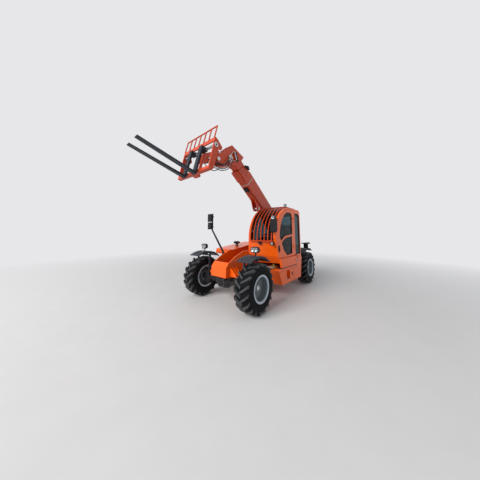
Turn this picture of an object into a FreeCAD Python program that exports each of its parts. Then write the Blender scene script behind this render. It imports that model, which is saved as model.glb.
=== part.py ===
import FreeCAD, Part
import math
import os
import re
import Sketcher

# A compact telescopic handler, parked, with its boom raised and its forks tilted back.
# Frame: +X forward, +Y to the machine's left, +Z up; the ground is Z = 0.
# Every outline is drawn from the point on the ground under the rear axle, and every
# placement then takes off centre_x and centre_y, so that the origin ends up under the
# middle of the whole machine.

# Columns: alias, value (mm or degrees), what it measures
SIZES = (
    ("centre_x", 2102.8, "rear axle to the middle of the whole length"),
    ("centre_y", 28.0, "machine's middle plane to the middle of the whole width"),
    ("wheel_base", 3000.0, "front axle ahead of the rear axle"),
    ("half_track", 865.0, "middle plane to the middle of a tyre"),
    ("tyre_radius", 500.0, "over the lugs"),
    ("tyre_half", 172.0, "half the width of a tyre"),
    ("lug_rise", 24.0, "height of a tread lug"),
    ("lug_reach", 64.0, "middle of a lug to its ends, along the tread"),
    ("wall_rise", 104.0, "tread down to the widest place of a tyre's wall"),
    ("shoulder", 22.0, "how far the tread is narrower than the wall"),
    ("bead_step", 12.0, "how far the bead lies inside the wall"),
    ("rim_radius", 252.0, "rim barrel, where the tyre sits"),
    ("flange_radius", 276.0, "edge of the rim"),
    ("king_y", 655.0, "middle plane to a king pin"),
    ("frame_half", 245.0, "half the width of the chassis"),
    ("plate", 20.0, "chassis side plates and floor"),
    ("frame_low", 600.0, "underside of the chassis"),
    ("pivot_x", -500.0, "boom pivot behind the rear axle"),
    ("pivot_z", 1225.0, "boom pivot above the ground"),
    ("boom_angle", 36.0, "boom above the level, in degrees"),
    ("boom_half_y", 125.0, "half the width of the outer boom"),
    ("boom_half_z", 200.0, "half the height of the outer boom"),
    ("boom_wall", 10.0, "boom plates"),
    ("outer_front", 3800.0, "pivot to the mouth of the outer boom"),
    ("inner_half_y", 100.0, "half the width of the inner boom"),
    ("inner_half_z", 160.0, "half the height of the inner boom"),
    ("inner_rear", 900.0, "pivot to the rear end of the inner boom"),
    ("inner_front", 3880.0, "pivot to the boom head"),
    ("lift_pin_u", 2437.0, "lift pin along the boom"),
    ("lift_pin_v", -320.0, "lift pin under the boom's middle line"),
    ("base_pin_x", -250.0, "foot of the lift cylinder"),
    ("base_pin_z", 750.0, "foot of the lift cylinder above the ground"),
    ("tilt_u", 4430.0, "carriage pivot along the boom"),
    ("tilt_v", -570.0, "carriage pivot under the boom's middle line"),
    ("fork_angle", 14.0, "forks above the level, in degrees"),
    ("carriage_half", 550.0, "half the width of the carriage"),
    ("fork_length", 1135.0, "fork blade, heel to tip"),
    ("fork_width", 100.0, "width of a fork"),
    ("fork_y", 180.0, "middle plane to a fork"),
    ("shaft_x", 444.0, "fork shaft ahead of the carriage pivot"),
    ("shaft_z", -100.0, "fork shaft under the carriage pivot"),
    ("shaft_radius", 30.0, "fork shaft"),
    ("cab_in", 250.0, "cab wall beside the boom"),
    ("cab_out", 965.0, "cab door side"),
    ("cab_rear", 640.0, "back of the cab"),
    ("cab_front", 2400.0, "front of the cab beside the boom"),
    ("cab_sweep", 150.0, "how far the front falls back towards the door"),
    ("cab_bow", 850.0, "radius of the windscreen as it turns into the roof"),
    ("cab_top", 2350.0, "cab roof"),
    ("cab_low", 870.0, "underside of the cab"),
    ("cab_wall", 45.0, "cab pillars, roof and walls"),
    ("door_rear", 1150.0, "door hinge line"),
    ("door_low", 1000.0, "lower edge of the door"),
    ("seat_gap", 0.3, "gap between a piece and its seat"),
    ("pad_gap", 0.5, "running gap of the boom's wear pads"),
    ("hinge_x", 1145.0, "door hinge, ahead of the rear axle"),
    ("hinge_y", 970.0, "door hinge, beside the middle"),
    ("hinge_radius", 8.0, "door hinge pin"),
    ("tow_radius", 16.0, "bore of the tow pin"),
    ("lift_fork", 66.0, "half the gap that takes the lift rod's eye"),
    ("steer_back", -150.0, "steering cylinder behind its axle"),
    ("steer_low", -45.0, "steering cylinder under its axle"),
    ("hood_pin_x", 686.0, "hood hinge, ahead of the rear axle"),
    ("hood_pin_z", 1005.0, "hood hinge above the ground"),
    ("lamp_back", 43.0, "headlamps behind the front axle"),
    ("mirror_back", 220.0, "foot of the right mirror's arm behind the front axle"),
    ("lamp_y", 860.0, "middle plane to a headlamp"),
    ("lamp_z", 1260.0, "headlamps above the ground"),
    ("pod_in", -270.0, "engine side, beside the boom"),
    ("pod_out", -960.0, "engine side, outer face"),
    ("pod_low", 560.0, "underside of the engine side"),
    ("hood_low", 1025.0, "lower edge of the engine hood"),
    ("hood_front", 2450.0, "front of the engine hood"),
    ("hood_top", 1165.0, "top of the hood at its front"),
    ("hood_peak", 1325.0, "top of the hood at its back"),
    ("box_out", 1000.0, "outer face of the side box"),
    ("base_tilt_u", 3760.0, "foot of the tilt cylinder along the boom"),
    ("base_tilt_v", 70.0, "foot of the tilt cylinder above the boom's middle line"),
    ("crank_x", -20.0, "tilt rod pin ahead of the carriage pivot"),
    ("crank_z", 200.0, "tilt rod pin above the carriage pivot"),
    ("fender_radius", 625.0, "underside of a mudguard about its axle"),
)

doc = FreeCAD.newDocument("telehandler")
sheet = doc.addObject("Spreadsheet::Sheet", "Size")
for row, (alias, value, meaning) in enumerate(SIZES, start=1):
    sheet.set(f"A{row}", alias)
    sheet.set(f"B{row}", str(value))
    sheet.set(f"C{row}", meaning)
    sheet.setAlias(f"B{row}", alias)
doc.recompute()

ALIASES = {alias for alias, value, meaning in SIZES}
NODES = []


def bound(text):
    """The same expression with every alias led back to the sheet."""
    return re.sub(r"[a-z_]+", lambda word: "Size." + word[0] if word[0] in ALIASES else word[0], str(text))


def size(text):
    """The number that an expression of sizes gives now."""
    return float(sheet.evalExpression(bound(text)))


def bend(start, end, radius):
    """The arc between two points; it bulges to the left of the way for a positive radius."""
    half = (end - start) * 0.5
    side = FreeCAD.Vector(-half.y, half.x, 0).normalize()
    reach = abs(radius)
    sink = (reach * reach - half.Length * half.Length) ** 0.5
    centre = start + half + side * (-sink if radius > 0 else sink)
    begin, finish = (end, start) if radius > 0 else (start, end)
    first = math.atan2(begin.y - centre.y, begin.x - centre.x)
    last = math.atan2(finish.y - centre.y, finish.x - centre.x)
    if last < first:
        last += 2 * math.pi
    return Part.ArcOfCircle(Part.Circle(centre, FreeCAD.Vector(0, 0, 1), reach), first, last)


class Piece:
    """One sub-part: a body of sketched features in the frame of its own placement."""

    def __init__(self, name):
        self.name = name
        self.body = doc.addObject("PartDesign::Body", name)
        self.body.Label = name
        NODES.append(self.body)
        self.count = 0

    def sketch(self, plane, corners, height):
        """A closed outline on one of the origin planes, each corner held by its sizes.

        A corner is (across, up) or (across, up, radius of the edge that leaves it).
        """
        self.count += 1
        drawing = self.body.newObject("Sketcher::SketchObject", f"{self.name}_outline_{self.count}")
        plane_object = [item for item in self.body.Origin.OriginFeatures if item.Role == plane + "_Plane"][0]
        drawing.AttachmentSupport = [(plane_object, "")]
        drawing.MapMode = "FlatFace"
        drawing.setExpression("AttachmentOffset.Base.z", bound(height))
        spots = [FreeCAD.Vector(size(corner[0]), size(corner[1]), 0) for corner in corners]
        firsts = []
        lasts = []
        for index, corner in enumerate(corners):
            start = spots[index]
            end = spots[(index + 1) % len(spots)]
            if len(corner) > 2:
                radius = size(corner[2])
                drawing.addGeometry(bend(start, end, radius))
                firsts.append(2 if radius > 0 else 1)
                lasts.append(1 if radius > 0 else 2)
            else:
                drawing.addGeometry(Part.LineSegment(start, end))
                firsts.append(1)
                lasts.append(2)
        for index, corner in enumerate(corners):
            following = (index + 1) % len(corners)
            drawing.addConstraint(
                Sketcher.Constraint("Coincident", index, lasts[index], following, firsts[following]))
        for index, corner in enumerate(corners):
            for kind, value, text in (("DistanceX", spots[index].x, corner[0]),
                                      ("DistanceY", spots[index].y, corner[1])):
                place = drawing.addConstraint(Sketcher.Constraint(kind, index, firsts[index], value))
                drawing.setExpression(f"Constraints[{place}]", bound(text))
            if len(corner) > 2:
                reach = abs(size(corner[2]))
                place = drawing.addConstraint(Sketcher.Constraint("Radius", index, reach))
                drawing.setExpression(f"Constraints[{place}]", bound(f"abs({corner[2]})"))
        return drawing

    def circle(self, plane, across, up, radius, height):
        """A round outline on one of the origin planes."""
        self.count += 1
        drawing = self.body.newObject("Sketcher::SketchObject", f"{self.name}_outline_{self.count}")
        plane_object = [item for item in self.body.Origin.OriginFeatures if item.Role == plane + "_Plane"][0]
        drawing.AttachmentSupport = [(plane_object, "")]
        drawing.MapMode = "FlatFace"
        drawing.setExpression("AttachmentOffset.Base.z", bound(height))
        centre = FreeCAD.Vector(size(across), size(up), 0)
        drawing.addGeometry(Part.Circle(centre, FreeCAD.Vector(0, 0, 1), size(radius)))
        for kind, value, text in (("DistanceX", centre.x, across), ("DistanceY", centre.y, up)):
            place = drawing.addConstraint(Sketcher.Constraint(kind, 0, 3, value))
            drawing.setExpression(f"Constraints[{place}]", bound(text))
        place = drawing.addConstraint(Sketcher.Constraint("Radius", 0, size(radius)))
        drawing.setExpression(f"Constraints[{place}]", bound(radius))
        return drawing

    def feature(self, kind, drawing, low, high):
        """Adds or takes away the drawing's prism between two heights."""
        made = self.body.newObject(f"PartDesign::{kind}", f"{self.name}_{kind}_{self.count}".lower())
        made.Profile = drawing
        made.setExpression("Length", bound(f"({high}) - ({low})"))
        doc.recompute()
        return made

    def height(self, kind, plane, low, high):
        """Where the outline lies, so that the feature runs from low to high."""
        if plane == "XZ":
            return f"-({high})" if kind == "Pad" else f"-({low})"
        return low if kind == "Pad" else high

    def pad(self, plane, corners, low, high):
        drawing = self.sketch(plane, corners, self.height("Pad", plane, low, high))
        self.feature("Pad", drawing, low, high)
        return self

    def cut(self, plane, corners, low, high):
        drawing = self.sketch(plane, corners, self.height("Pocket", plane, low, high))
        self.feature("Pocket", drawing, low, high)
        return self

    def rod(self, plane, across, up, radius, low, high):
        drawing = self.circle(plane, across, up, radius, self.height("Pad", plane, low, high))
        self.feature("Pad", drawing, low, high)
        return self

    def bore(self, plane, across, up, radius, low, high):
        drawing = self.circle(plane, across, up, radius, self.height("Pocket", plane, low, high))
        self.feature("Pocket", drawing, low, high)
        return self

    def turned(self, corners):
        """A revolved profile: along Y and out from the Y axis."""
        drawing = self.sketch("YZ", corners, "0")
        made = self.body.newObject("PartDesign::Revolution", f"{self.name}_turned_{self.count}")
        made.Profile = drawing
        made.ReferenceAxis = (drawing, ["H_Axis"])
        made.Angle = 360
        doc.recompute()
        return self

    def turned_up(self, corners):
        """A revolved profile: out from the Z axis and up."""
        drawing = self.sketch("XZ", corners, "0")
        made = self.body.newObject("PartDesign::Revolution", f"{self.name}_turned_{self.count}")
        made.Profile = drawing
        made.ReferenceAxis = (drawing, ["V_Axis"])
        made.Angle = 360
        doc.recompute()
        return self

    def loft(self, *outlines, kind="AdditiveLoft"):
        """Joins upright outlines, each an outline and its Y, by straight edges."""
        sections = [self.sketch("XZ", corners, f"-({aside})") for corners, aside in outlines]
        made = self.body.newObject(f"PartDesign::{kind}", f"{self.name}_loft_{self.count}")
        made.Profile = sections[0]
        made.Sections = sections[1:]
        made.Ruled = True
        doc.recompute()
        return self

    def hoop(self, across, aside, up, lean, radius, half):
        """A flat ring, leaned up about the Y axis, twice its half width across its bar."""
        drawing = self.circle("XY", "0", "0", f"({radius}) + ({half})", "0")
        drawing.addGeometry(Part.Circle(FreeCAD.Vector(), FreeCAD.Vector(0, 0, 1), size(f"({radius}) - ({half})")))
        drawing.addConstraint(Sketcher.Constraint("Coincident", 1, 3, 0, 3))
        place = drawing.addConstraint(Sketcher.Constraint("Radius", 1, size(f"({radius}) - ({half})")))
        drawing.setExpression(f"Constraints[{place}]", bound(f"({radius}) - ({half})"))
        middle = FreeCAD.Vector(size(across), size(aside), size(up))
        drawing.setExpression("AttachmentOffset.Base.z", None)
        turn = FreeCAD.Rotation(FreeCAD.Vector(0, 1, 0), -size(lean))
        drawing.AttachmentOffset = FreeCAD.Placement(middle, turn)
        self.feature("Pad", drawing, "0", half)
        return self

    def place(self, across="0", aside="0", up="0", lean=None):
        put(self.body, across, aside, up, lean)
        return self


def put(item, across="0", aside="0", up="0", lean=None):
    """Puts a sub-part down, leaned up about the Y axis where it belongs to the boom."""
    turn = FreeCAD.Rotation(FreeCAD.Vector(0, 1, 0), -size(lean) if lean else 0)
    item.Placement = FreeCAD.Placement(FreeCAD.Vector(0, 0, 0), turn)
    if lean:
        item.setExpression("Placement.Rotation.Angle", bound(f"-({lean}) * 1deg"))
    item.setExpression("Placement.Base.x", bound(f"({across}) - centre_x"))
    item.setExpression("Placement.Base.y", bound(f"({aside}) - centre_y"))
    item.setExpression("Placement.Base.z", bound(up))


def box(x_low, x_high, z_low, z_high):
    """Corners of an upright rectangle."""
    return ((x_low, z_low), (x_high, z_low), (x_high, z_high), (x_low, z_high))


TILT_X = "pivot_x + tilt_u * cos(boom_angle * 1deg) - tilt_v * sin(boom_angle * 1deg)"
TILT_Z = "pivot_z + tilt_u * sin(boom_angle * 1deg) + tilt_v * cos(boom_angle * 1deg)"


def on_boom(piece):
    return piece.place("pivot_x", "0", "pivot_z", "boom_angle")


def on_carriage(piece):
    return piece.place(TILT_X, "0", TILT_Z, "fork_angle")


def chassis():
    """Side plates and floor in one weldment, open upwards as the bed of the boom."""
    frame = Piece("chassis_frame")
    frame.pad("XZ", (
        ("wheel_base + 235", "frame_low + 20"),
        ("wheel_base + 225", "840"),
        ("wheel_base + 150", "930"),
        ("wheel_base - 60", "1050"),
        ("wheel_base - 380", "1170"),
        ("wheel_base - 620", "1180"),
        ("1800", "1265"),
        ("1150", "1180"),
        ("150", "1040"),
        ("pivot_x + 260", "1090"),
        ("pivot_x + 150", "pivot_z + 150"),
        ("pivot_x + 60", "pivot_z + 210"),
        ("pivot_x - 130", "pivot_z + 200"),
        ("pivot_x - 240", "pivot_z + 90"),
        ("pivot_x - 400", "900"),
        ("pivot_x - 400", "frame_low + 60"),
        ("pivot_x - 300", "frame_low"),
        ("wheel_base + 120", "frame_low")), "-frame_half", "frame_half")
    frame.cut("XZ", (
        ("pivot_x - 380", "frame_low + 80"),
        ("pivot_x - 290", "frame_low + plate"),
        ("wheel_base + 110", "frame_low + plate"),
        ("wheel_base + 210", "frame_low + plate + 20"),
        ("wheel_base + 200", "830"),
        ("wheel_base + 130", "910"),
        ("wheel_base + 100", "1600"),
        ("pivot_x - 380", "1600")), "-frame_half + plate", "frame_half - plate")
    for at in ("wheel_base", "0"):
        frame.cut("XY", box(f"{at} - 180", f"{at} + 180", "-frame_half + 30", "frame_half - 30"),
                  "frame_low - 10", "frame_low + 60")
    for low, high, tip in (("frame_half - 5", "430", "430"), ("-430", "-frame_half + 5", "-430")):
        frame.pad("XY", box("wheel_base - 100", "wheel_base + 110", low, high), "640", "655")
        root = low if tip == high else high
        for at in ("wheel_base - 85", "wheel_base + 5", "wheel_base + 85"):
            frame.pad("YZ", ((root, "645"), (tip, "645"), (tip, "690"), (root, "850")), at, f"{at} + 14")
    frame.bore("XZ", "pivot_x", "pivot_z", "45", "-frame_half - 10", "frame_half + 10")
    frame.bore("XZ", "base_pin_x", "base_pin_z", "30", "-frame_half - 10", "frame_half + 10")
    frame.place()

    pins = Piece("boom_and_lift_pins")
    pins.rod("XZ", "pivot_x", "pivot_z", "45", "-frame_half - 15", "frame_half + 15")
    pins.rod("XZ", "base_pin_x", "base_pin_z", "30", "-frame_half - 15", "frame_half + 15")
    pins.place()

    weight = Piece("counterweight")
    weight.pad("XY", (
        ("pivot_x - 400", "-600"),
        ("pivot_x - 300", "-640"),
        ("pivot_x - 190", "-640"),
        ("pivot_x - 190", "-frame_half - seat_gap"),
        ("pivot_x - 400.5", "-frame_half - seat_gap"),
        ("pivot_x - 400.5", "frame_half + seat_gap"),
        ("pivot_x - 190", "frame_half + seat_gap"),
        ("pivot_x - 190", "640"),
        ("pivot_x - 300", "640"),
        ("pivot_x - 400", "600"),
        ("pivot_x - 480", "420"),
        ("pivot_x - 480", "-420")), "560", "1010")
    weight.cut("YZ", box("-80", "80", "640", "720"), "pivot_x - 490", "pivot_x - 411")
    weight.bore("XY", "pivot_x - 447", "0", "tow_radius", "550", "1020")
    weight.place()


def axles():
    for name, at in (("axle_front", "wheel_base"), ("axle_rear", "0")):
        axle = Piece(name)
        axle.turned((
            ("-560", "0"), ("-560", "70"), ("-230", "85"), ("-130", "150"), ("-60", "168"),
            ("60", "168"), ("130", "150"), ("230", "85"), ("560", "70"), ("560", "0")))
        for low, high in (("frame_half - 70", "frame_half"), ("-frame_half", "-frame_half + 70")):
            axle.pad("XY", box("-95", "95", low, high), "40", "frame_low - tyre_radius")
        axle.rod("XZ", "steer_back", "steer_low", "34", "-230", "230")
        axle.rod("XZ", "steer_back", "steer_low", "13", "-470", "470")
        for low, high in (("160", "200"), ("-200", "-160")):
            axle.pad("XZ", box("steer_back", "-70", "steer_low - 16", "steer_low + 16"), low, high)
        for side, sign in (("left", ""), ("right", "-")):
            inner = f"{sign}(520)"
            outer = f"{sign}(king_y)"
            low, high = (inner, outer) if sign == "" else (outer, inner)
            axle.pad("YZ", box(low, high, "-150", "150"), "-60", "60")
            axle.rod("XY", "0", outer, "60", "-150", "150")
        for sign in ("", "-"):
            low, high = (("king_y - 75", "king_y + 75") if sign == "" else ("-king_y - 75", "-king_y + 75"))
            axle.cut("YZ", box(low, high, "-115", "115"), "-70", "70")
            axle.bore("XY", "0", f"{sign}king_y", "25.05", "-160", "160")
        axle.place(at, "0", "tyre_radius")


def knuckles():
    for end, at in (("front", "wheel_base"), ("rear", "0")):
        for side, sign in (("left", 1), ("right", -1)):
            knuckle = Piece(f"knuckle_{end}_{side}")
            knuckle.rod("XY", "0", "0", "55", "-110", "110")
            knuckle.rod("XY", "0", "0", "25", "-150", "150")
            reach = ("0", "half_track - king_y - 86") if sign > 0 else ("-(half_track - king_y - 86)", "0")
            knuckle.rod("XZ", "0", "0", "80", *reach)
            tip = ("0", "half_track - king_y - 25") if sign > 0 else ("-(half_track - king_y - 25)", "0")
            knuckle.rod("XZ", "0", "0", "50", *tip)
            arm = box("-190", "-30", "-20", "30") if sign > 0 else box("-190", "-30", "-30", "20")
            knuckle.pad("XY", arm, "-60", "-30")
            knuckle.place(at, f"{'' if sign > 0 else '-'}king_y", "tyre_radius")


TYRE_FLATS = 32
TYRE_LUGS = 16


def flat_ring(radius, aside):
    """Corners of an even polygon round the tyre's axis, whose flats touch the radius."""
    corner = radius / math.cos(math.pi / TYRE_FLATS)
    turns = [(step + 0.5) * 2 * math.pi / TYRE_FLATS for step in range(TYRE_FLATS)]
    return [FreeCAD.Vector(corner * math.sin(turn), aside, corner * math.cos(turn)) for turn in turns]


def panel(*corners):
    return Part.Face(Part.makePolygon([*corners, corners[0]]))


def tyre_shape():
    """A carcass of flat facets, and slanting lugs that meet in a V at the middle and wrap the shoulder."""
    half = size("tyre_half")
    tread = size("tyre_radius - lug_rise")
    wall = size("tyre_radius - lug_rise - wall_rise")
    side = (
        (half - size("bead_step"), size("rim_radius + seat_gap")),
        (half - size("bead_step"), size("flange_radius + 4")),
        (half, wall),
        (half - size("shoulder"), tread))
    rings = [flat_ring(radius, -aside) for aside, radius in side]
    rings += [flat_ring(radius, aside) for aside, radius in reversed(side)]
    faces = [panel(near[step - 1], near[step], far[step], far[step - 1])
             for near, far in zip(rings, rings[1:] + rings[:1]) for step in range(TYRE_FLATS)]
    carcass = Part.makeSolid(Part.makeShell(faces))

    reach = size("lug_reach")
    top = math.sqrt(size("tyre_radius") ** 2 - reach ** 2)
    lugs = []
    for side_sign, first in ((1, 0.0), (-1, 0.5)):
        inner = side_sign * 4
        outer = side_sign * (half - 4)
        outline = ((reach, inner), (reach - 34, inner), (-reach, outer), (-reach + 46, outer))
        for step in range(TYRE_LUGS):
            foot = panel(*(FreeCAD.Vector(across, aside, wall + 30) for across, aside in outline))
            lug = foot.extrude(FreeCAD.Vector(0, 0, top - wall - 30))
            lug.rotate(FreeCAD.Vector(), FreeCAD.Vector(0, 1, 0), (step + first) * 360 / TYRE_LUGS)
            lugs.append(lug)
    return carcass.fuse(lugs)


def wheels():
    lugged = tyre_shape()
    for end, at in (("front", "wheel_base"), ("rear", "0")):
        for side, sign in (("left", ""), ("right", "-")):
            out = "1" if side == "left" else "-1"
            tyre = doc.addObject("Part::Feature", f"tyre_{end}_{side}")
            tyre.Label = f"tyre_{end}_{side}"
            tyre.Shape = lugged.copy()
            put(tyre, at, f"{sign}half_track", "tyre_radius", "asin(lug_reach / tyre_radius) / 1deg")
            NODES.append(tyre)

            rim = Piece(f"rim_{end}_{side}")
            rim.turned((
                (f"{out} * (-tyre_half + 12)", "rim_radius"),
                (f"{out} * (-tyre_half + 12)", "flange_radius"),
                (f"{out} * (-tyre_half)", "flange_radius"),
                (f"{out} * (-tyre_half + 4)", "rim_radius - 14"),
                (f"{out} * 0", "rim_radius - 26"),
                (f"{out} * -20", "140"),
                (f"{out} * -84", "125"),
                (f"{out} * -84", "50.4"),
                (f"{out} * -20", "50.4"),
                (f"{out} * -20", "0"),
                (f"{out} * 70", "0"),
                (f"{out} * 70", "80"),
                (f"{out} * 8", "140"),
                (f"{out} * 34", "rim_radius - 26"),
                (f"{out} * (tyre_half - 4)", "rim_radius - 14"),
                (f"{out} * (tyre_half)", "flange_radius"),
                (f"{out} * (tyre_half - 12)", "flange_radius"),
                (f"{out} * (tyre_half - 12)", "rim_radius")))
            rim.place(at, f"{sign}half_track", "tyre_radius")


def boom():
    outer = Piece("boom_outer")
    outer.pad("XZ", (
        ("-90", "-boom_half_z"), ("outer_front", "-boom_half_z"), ("outer_front - 90", "boom_half_z - 100"),
        ("outer_front - 380", "boom_half_z"), ("-90", "boom_half_z")), "-boom_half_y", "boom_half_y")
    outer.cut("XZ", box("200", "outer_front + 10", "-boom_half_z + boom_wall", "boom_half_z - boom_wall"),
              "-boom_half_y + boom_wall", "boom_half_y - boom_wall")
    for low, high in (("inner_half_y + pad_gap", "boom_half_y - 5"), ("-boom_half_y + 5", "-inner_half_y - pad_gap")):
        outer.pad("XZ", box("outer_front - 300", "outer_front - 180", "-80", "80"), low, high)
    outer.pad("XZ", box("outer_front - 160", "outer_front - 20", "-boom_half_z + 5", "-inner_half_z - pad_gap"),
              "-70", "70")
    outer.pad("XZ", box("outer_front - 560", "outer_front - 420", "inner_half_z + pad_gap", "boom_half_z - 5"),
              "-70", "70")
    for low, high in (("boom_half_y - 2", "boom_half_y + 8"), ("-boom_half_y - 8", "-boom_half_y + 2")):
        outer.pad("XZ", (
            ("outer_front - 430", "-boom_half_z + 60"), ("outer_front - 360", "-boom_half_z"),
            ("outer_front - 4", "-boom_half_z"), ("outer_front - 92", "boom_half_z - 110"),
            ("outer_front - 360", "boom_half_z - 15"), ("outer_front - 430", "boom_half_z - 60")), low, high)
    outer.pad("XZ", (
        ("outer_front - 380", "-boom_half_z"), ("outer_front - 350", "-boom_half_z - 38"),
        ("outer_front - 12", "-boom_half_z - 38"), ("outer_front - 4", "-boom_half_z + 5"),
        ("outer_front - 380", "-boom_half_z + 5")), "-boom_half_y + 12", "boom_half_y - 12")
    outer.pad("XZ", box("outer_front - 480", "outer_front - 400", "boom_half_z - 5", "boom_half_z + 45"),
              "-70", "70")
    outer.rod("XZ", "0", "0", "75", "-frame_half + plate + 6", "frame_half - plate - 6")
    outer.bore("XZ", "0", "0", "45.05", "-frame_half", "frame_half")
    outer.pad("XZ", (
        ("lift_pin_u - 260", "-boom_half_z"), ("lift_pin_u - 70", "lift_pin_v - 60"),
        ("lift_pin_u + 70", "lift_pin_v - 60"), ("lift_pin_u + 330", "-boom_half_z")),
        "-lift_fork - 22", "lift_fork + 22")
    outer.cut("XZ", box("lift_pin_u - 400", "lift_pin_u + 400", "lift_pin_v - 100", "-boom_half_z"),
              "-lift_fork", "lift_fork")
    on_boom(outer)

    inner = Piece("boom_inner")
    inner.pad("XZ", box("inner_rear", "inner_front", "-inner_half_z", "inner_half_z"),
              "-inner_half_y", "inner_half_y")
    inner.cut("XZ", box("inner_rear - 10", "inner_front + 10", "-inner_half_z + boom_wall",
                        "inner_half_z - boom_wall"), "-inner_half_y + boom_wall", "inner_half_y - boom_wall")
    inner.rod("XZ", "base_tilt_u", "base_tilt_v", "20", "-inner_half_y + 5", "inner_half_y - 5")
    for low, high in (("inner_half_y - 5", "boom_half_y - boom_wall - pad_gap"),
                      ("-boom_half_y + boom_wall + pad_gap", "-inner_half_y + 5")):
        inner.pad("XZ", box("inner_rear + 10", "inner_rear + 130", "-80", "80"), low, high)
    inner.pad("XZ", box("inner_rear + 10", "inner_rear + 130", "inner_half_z - 5",
                        "boom_half_z - boom_wall - pad_gap"), "-70", "70")
    on_boom(inner)

    head = Piece("boom_head")
    head.pad("XZ", (
        ("inner_front", "300"), ("tilt_u - 60", "145"), ("tilt_u + 50", "tilt_v + 140"),
        ("tilt_u + 62", "tilt_v"), ("tilt_u + 30", "tilt_v - 55"), ("tilt_u - 40", "tilt_v - 55"),
        ("tilt_u - 306", "tilt_v + 140"), ("inner_front + 60", "-inner_half_z"),
        ("inner_front", "-inner_half_z")), "-boom_half_y", "boom_half_y")
    head.cut("XZ", (
        ("inner_front - 10", "inner_half_z - boom_wall"), ("inner_front + 20", "270"), ("tilt_u - 75", "128"),
        ("tilt_u + 100", "128"), ("tilt_u + 100", "tilt_v - 100"), ("tilt_u - 60", "tilt_v - 100"),
        ("tilt_u - 290", "tilt_v + 155"), ("inner_front + 64", "-inner_half_z + boom_wall"),
        ("inner_front - 10", "-inner_half_z + boom_wall")), "-boom_half_y + 20", "boom_half_y - 20")
    head.rod("XZ", "tilt_u", "tilt_v", "30", "-boom_half_y - 12", "boom_half_y + 12")
    on_boom(head)


def carriage():
    frame = Piece("carriage")
    side = (("505", "55"), ("440", "45"), ("275", "-45"), ("285", "-120"), ("360", "-145"),
            ("365", "-600"), ("400", "-664"), ("484", "-620"))
    frame.pad("XZ", box("480", "505", "-45", "55"), "-carriage_half", "carriage_half")
    frame.pad("XZ", box("400", "484", "-664", "-600"), "-carriage_half", "carriage_half")
    frame.pad("XZ", side, "carriage_half - 25", "carriage_half")
    frame.pad("XZ", side, "-carriage_half", "-carriage_half + 25")
    frame.pad("XZ", box("340", "400", "-664", "40"), "-85", "-60")
    frame.pad("XZ", box("340", "400", "-664", "40"), "60", "85")
    hitch = (("-60", "0", "-60"), ("0", "-60"), ("340", "-300"), ("340", "-60"), ("30", "235"), ("-60", "235"))
    frame.pad("XZ", hitch, "60", "85")
    frame.pad("XZ", hitch, "-85", "-60")
    frame.pad("XZ", box("320", "484", "-10", "30"), "-85", "85")
    frame.pad("XZ", box("320", "410", "-664", "-620"), "-85", "85")
    frame.bore("XZ", "0", "0", "30.05", "-carriage_half", "carriage_half")
    frame.bore("XZ", "shaft_x", "shaft_z", "shaft_radius", "-carriage_half - 10", "carriage_half + 10")
    on_carriage(frame)

    guard = Piece("load_guard")
    guard.pad("XZ", box("495", "520", "325", "345"), "-carriage_half + 10", "carriage_half - 10")
    for index in range(7):
        middle = f"(-carriage_half + 25 + {index} * (carriage_half - 25) / 3)"
        guard.pad("XZ", box("497", "517", "55", "330"), f"{middle} - 12", f"{middle} + 12")
    on_carriage(guard)

    shaft = Piece("fork_shaft")
    shaft.rod("XZ", "shaft_x", "shaft_z", "shaft_radius", "-carriage_half - 5", "carriage_half + 5")
    on_carriage(shaft)

    for side, sign in (("left", ""), ("right", "-")):
        fork = Piece(f"fork_{side}")
        low = f"{sign}fork_y - fork_width / 2"
        high = f"{sign}fork_y + fork_width / 2"
        fork.pad("XZ", (
            ("510", "-735"), ("510 + fork_length", "-705"), ("510 + fork_length", "-690"),
            ("575", "-690"), ("555", "-670"), ("555", "-60"), ("510", "-60")), low, high)
        fork.rod("XZ", "shaft_x", "shaft_z", "shaft_radius + 22", low, high)
        fork.pad("XZ", box("shaft_x", "515", "-135", "-65"), low, high)
        fork.bore("XZ", "shaft_x", "shaft_z", "shaft_radius + 1", low, high)
        on_carriage(fork)


def cab_profile(inset, aside, rear, low, front_low):
    """Side outline of the cab, inset by a wall; the front falls back as it nears the door."""
    back = f"cab_sweep * ({aside} - cab_in) / (cab_out - cab_in)"
    return (
        (f"{rear}", f"{low}"),
        (f"cab_front - 170 - {inset} - {back} * 4 / 3", f"{low}"),
        (f"cab_front - {inset} - {back} * 1.8", f"{front_low} - {back} / 3"),
        (f"cab_front - {inset} - {back}", "cab_top - cab_bow", f"-(cab_bow - {inset})"),
        (f"cab_front - cab_bow - {back}", f"cab_top - {inset}"),
        (f"{rear} + 80", f"cab_top - {inset}"),
        (f"{rear}", f"cab_top - {inset} - 70"))


def cab_band(aside, near, far, low, rear):
    """Outline of a strip that follows the windscreen and roof, between two insets."""
    back = f"cab_sweep * ({aside} - cab_in) / (cab_out - cab_in)"
    return (
        (f"cab_front - ({near}) - {back}", low),
        (f"cab_front - ({near}) - {back}", "cab_top - cab_bow", f"-(cab_bow - ({near}))"),
        (f"cab_front - cab_bow - {back}", f"cab_top - ({near})"),
        (rear, f"cab_top - ({near})"),
        (rear, f"cab_top - ({far})"),
        (f"cab_front - cab_bow - {back}", f"cab_top - ({far})", f"cab_bow - ({far})"),
        (f"cab_front - ({far}) - {back}", "cab_top - cab_bow"),
        (f"cab_front - ({far}) - {back}", low))


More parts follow.
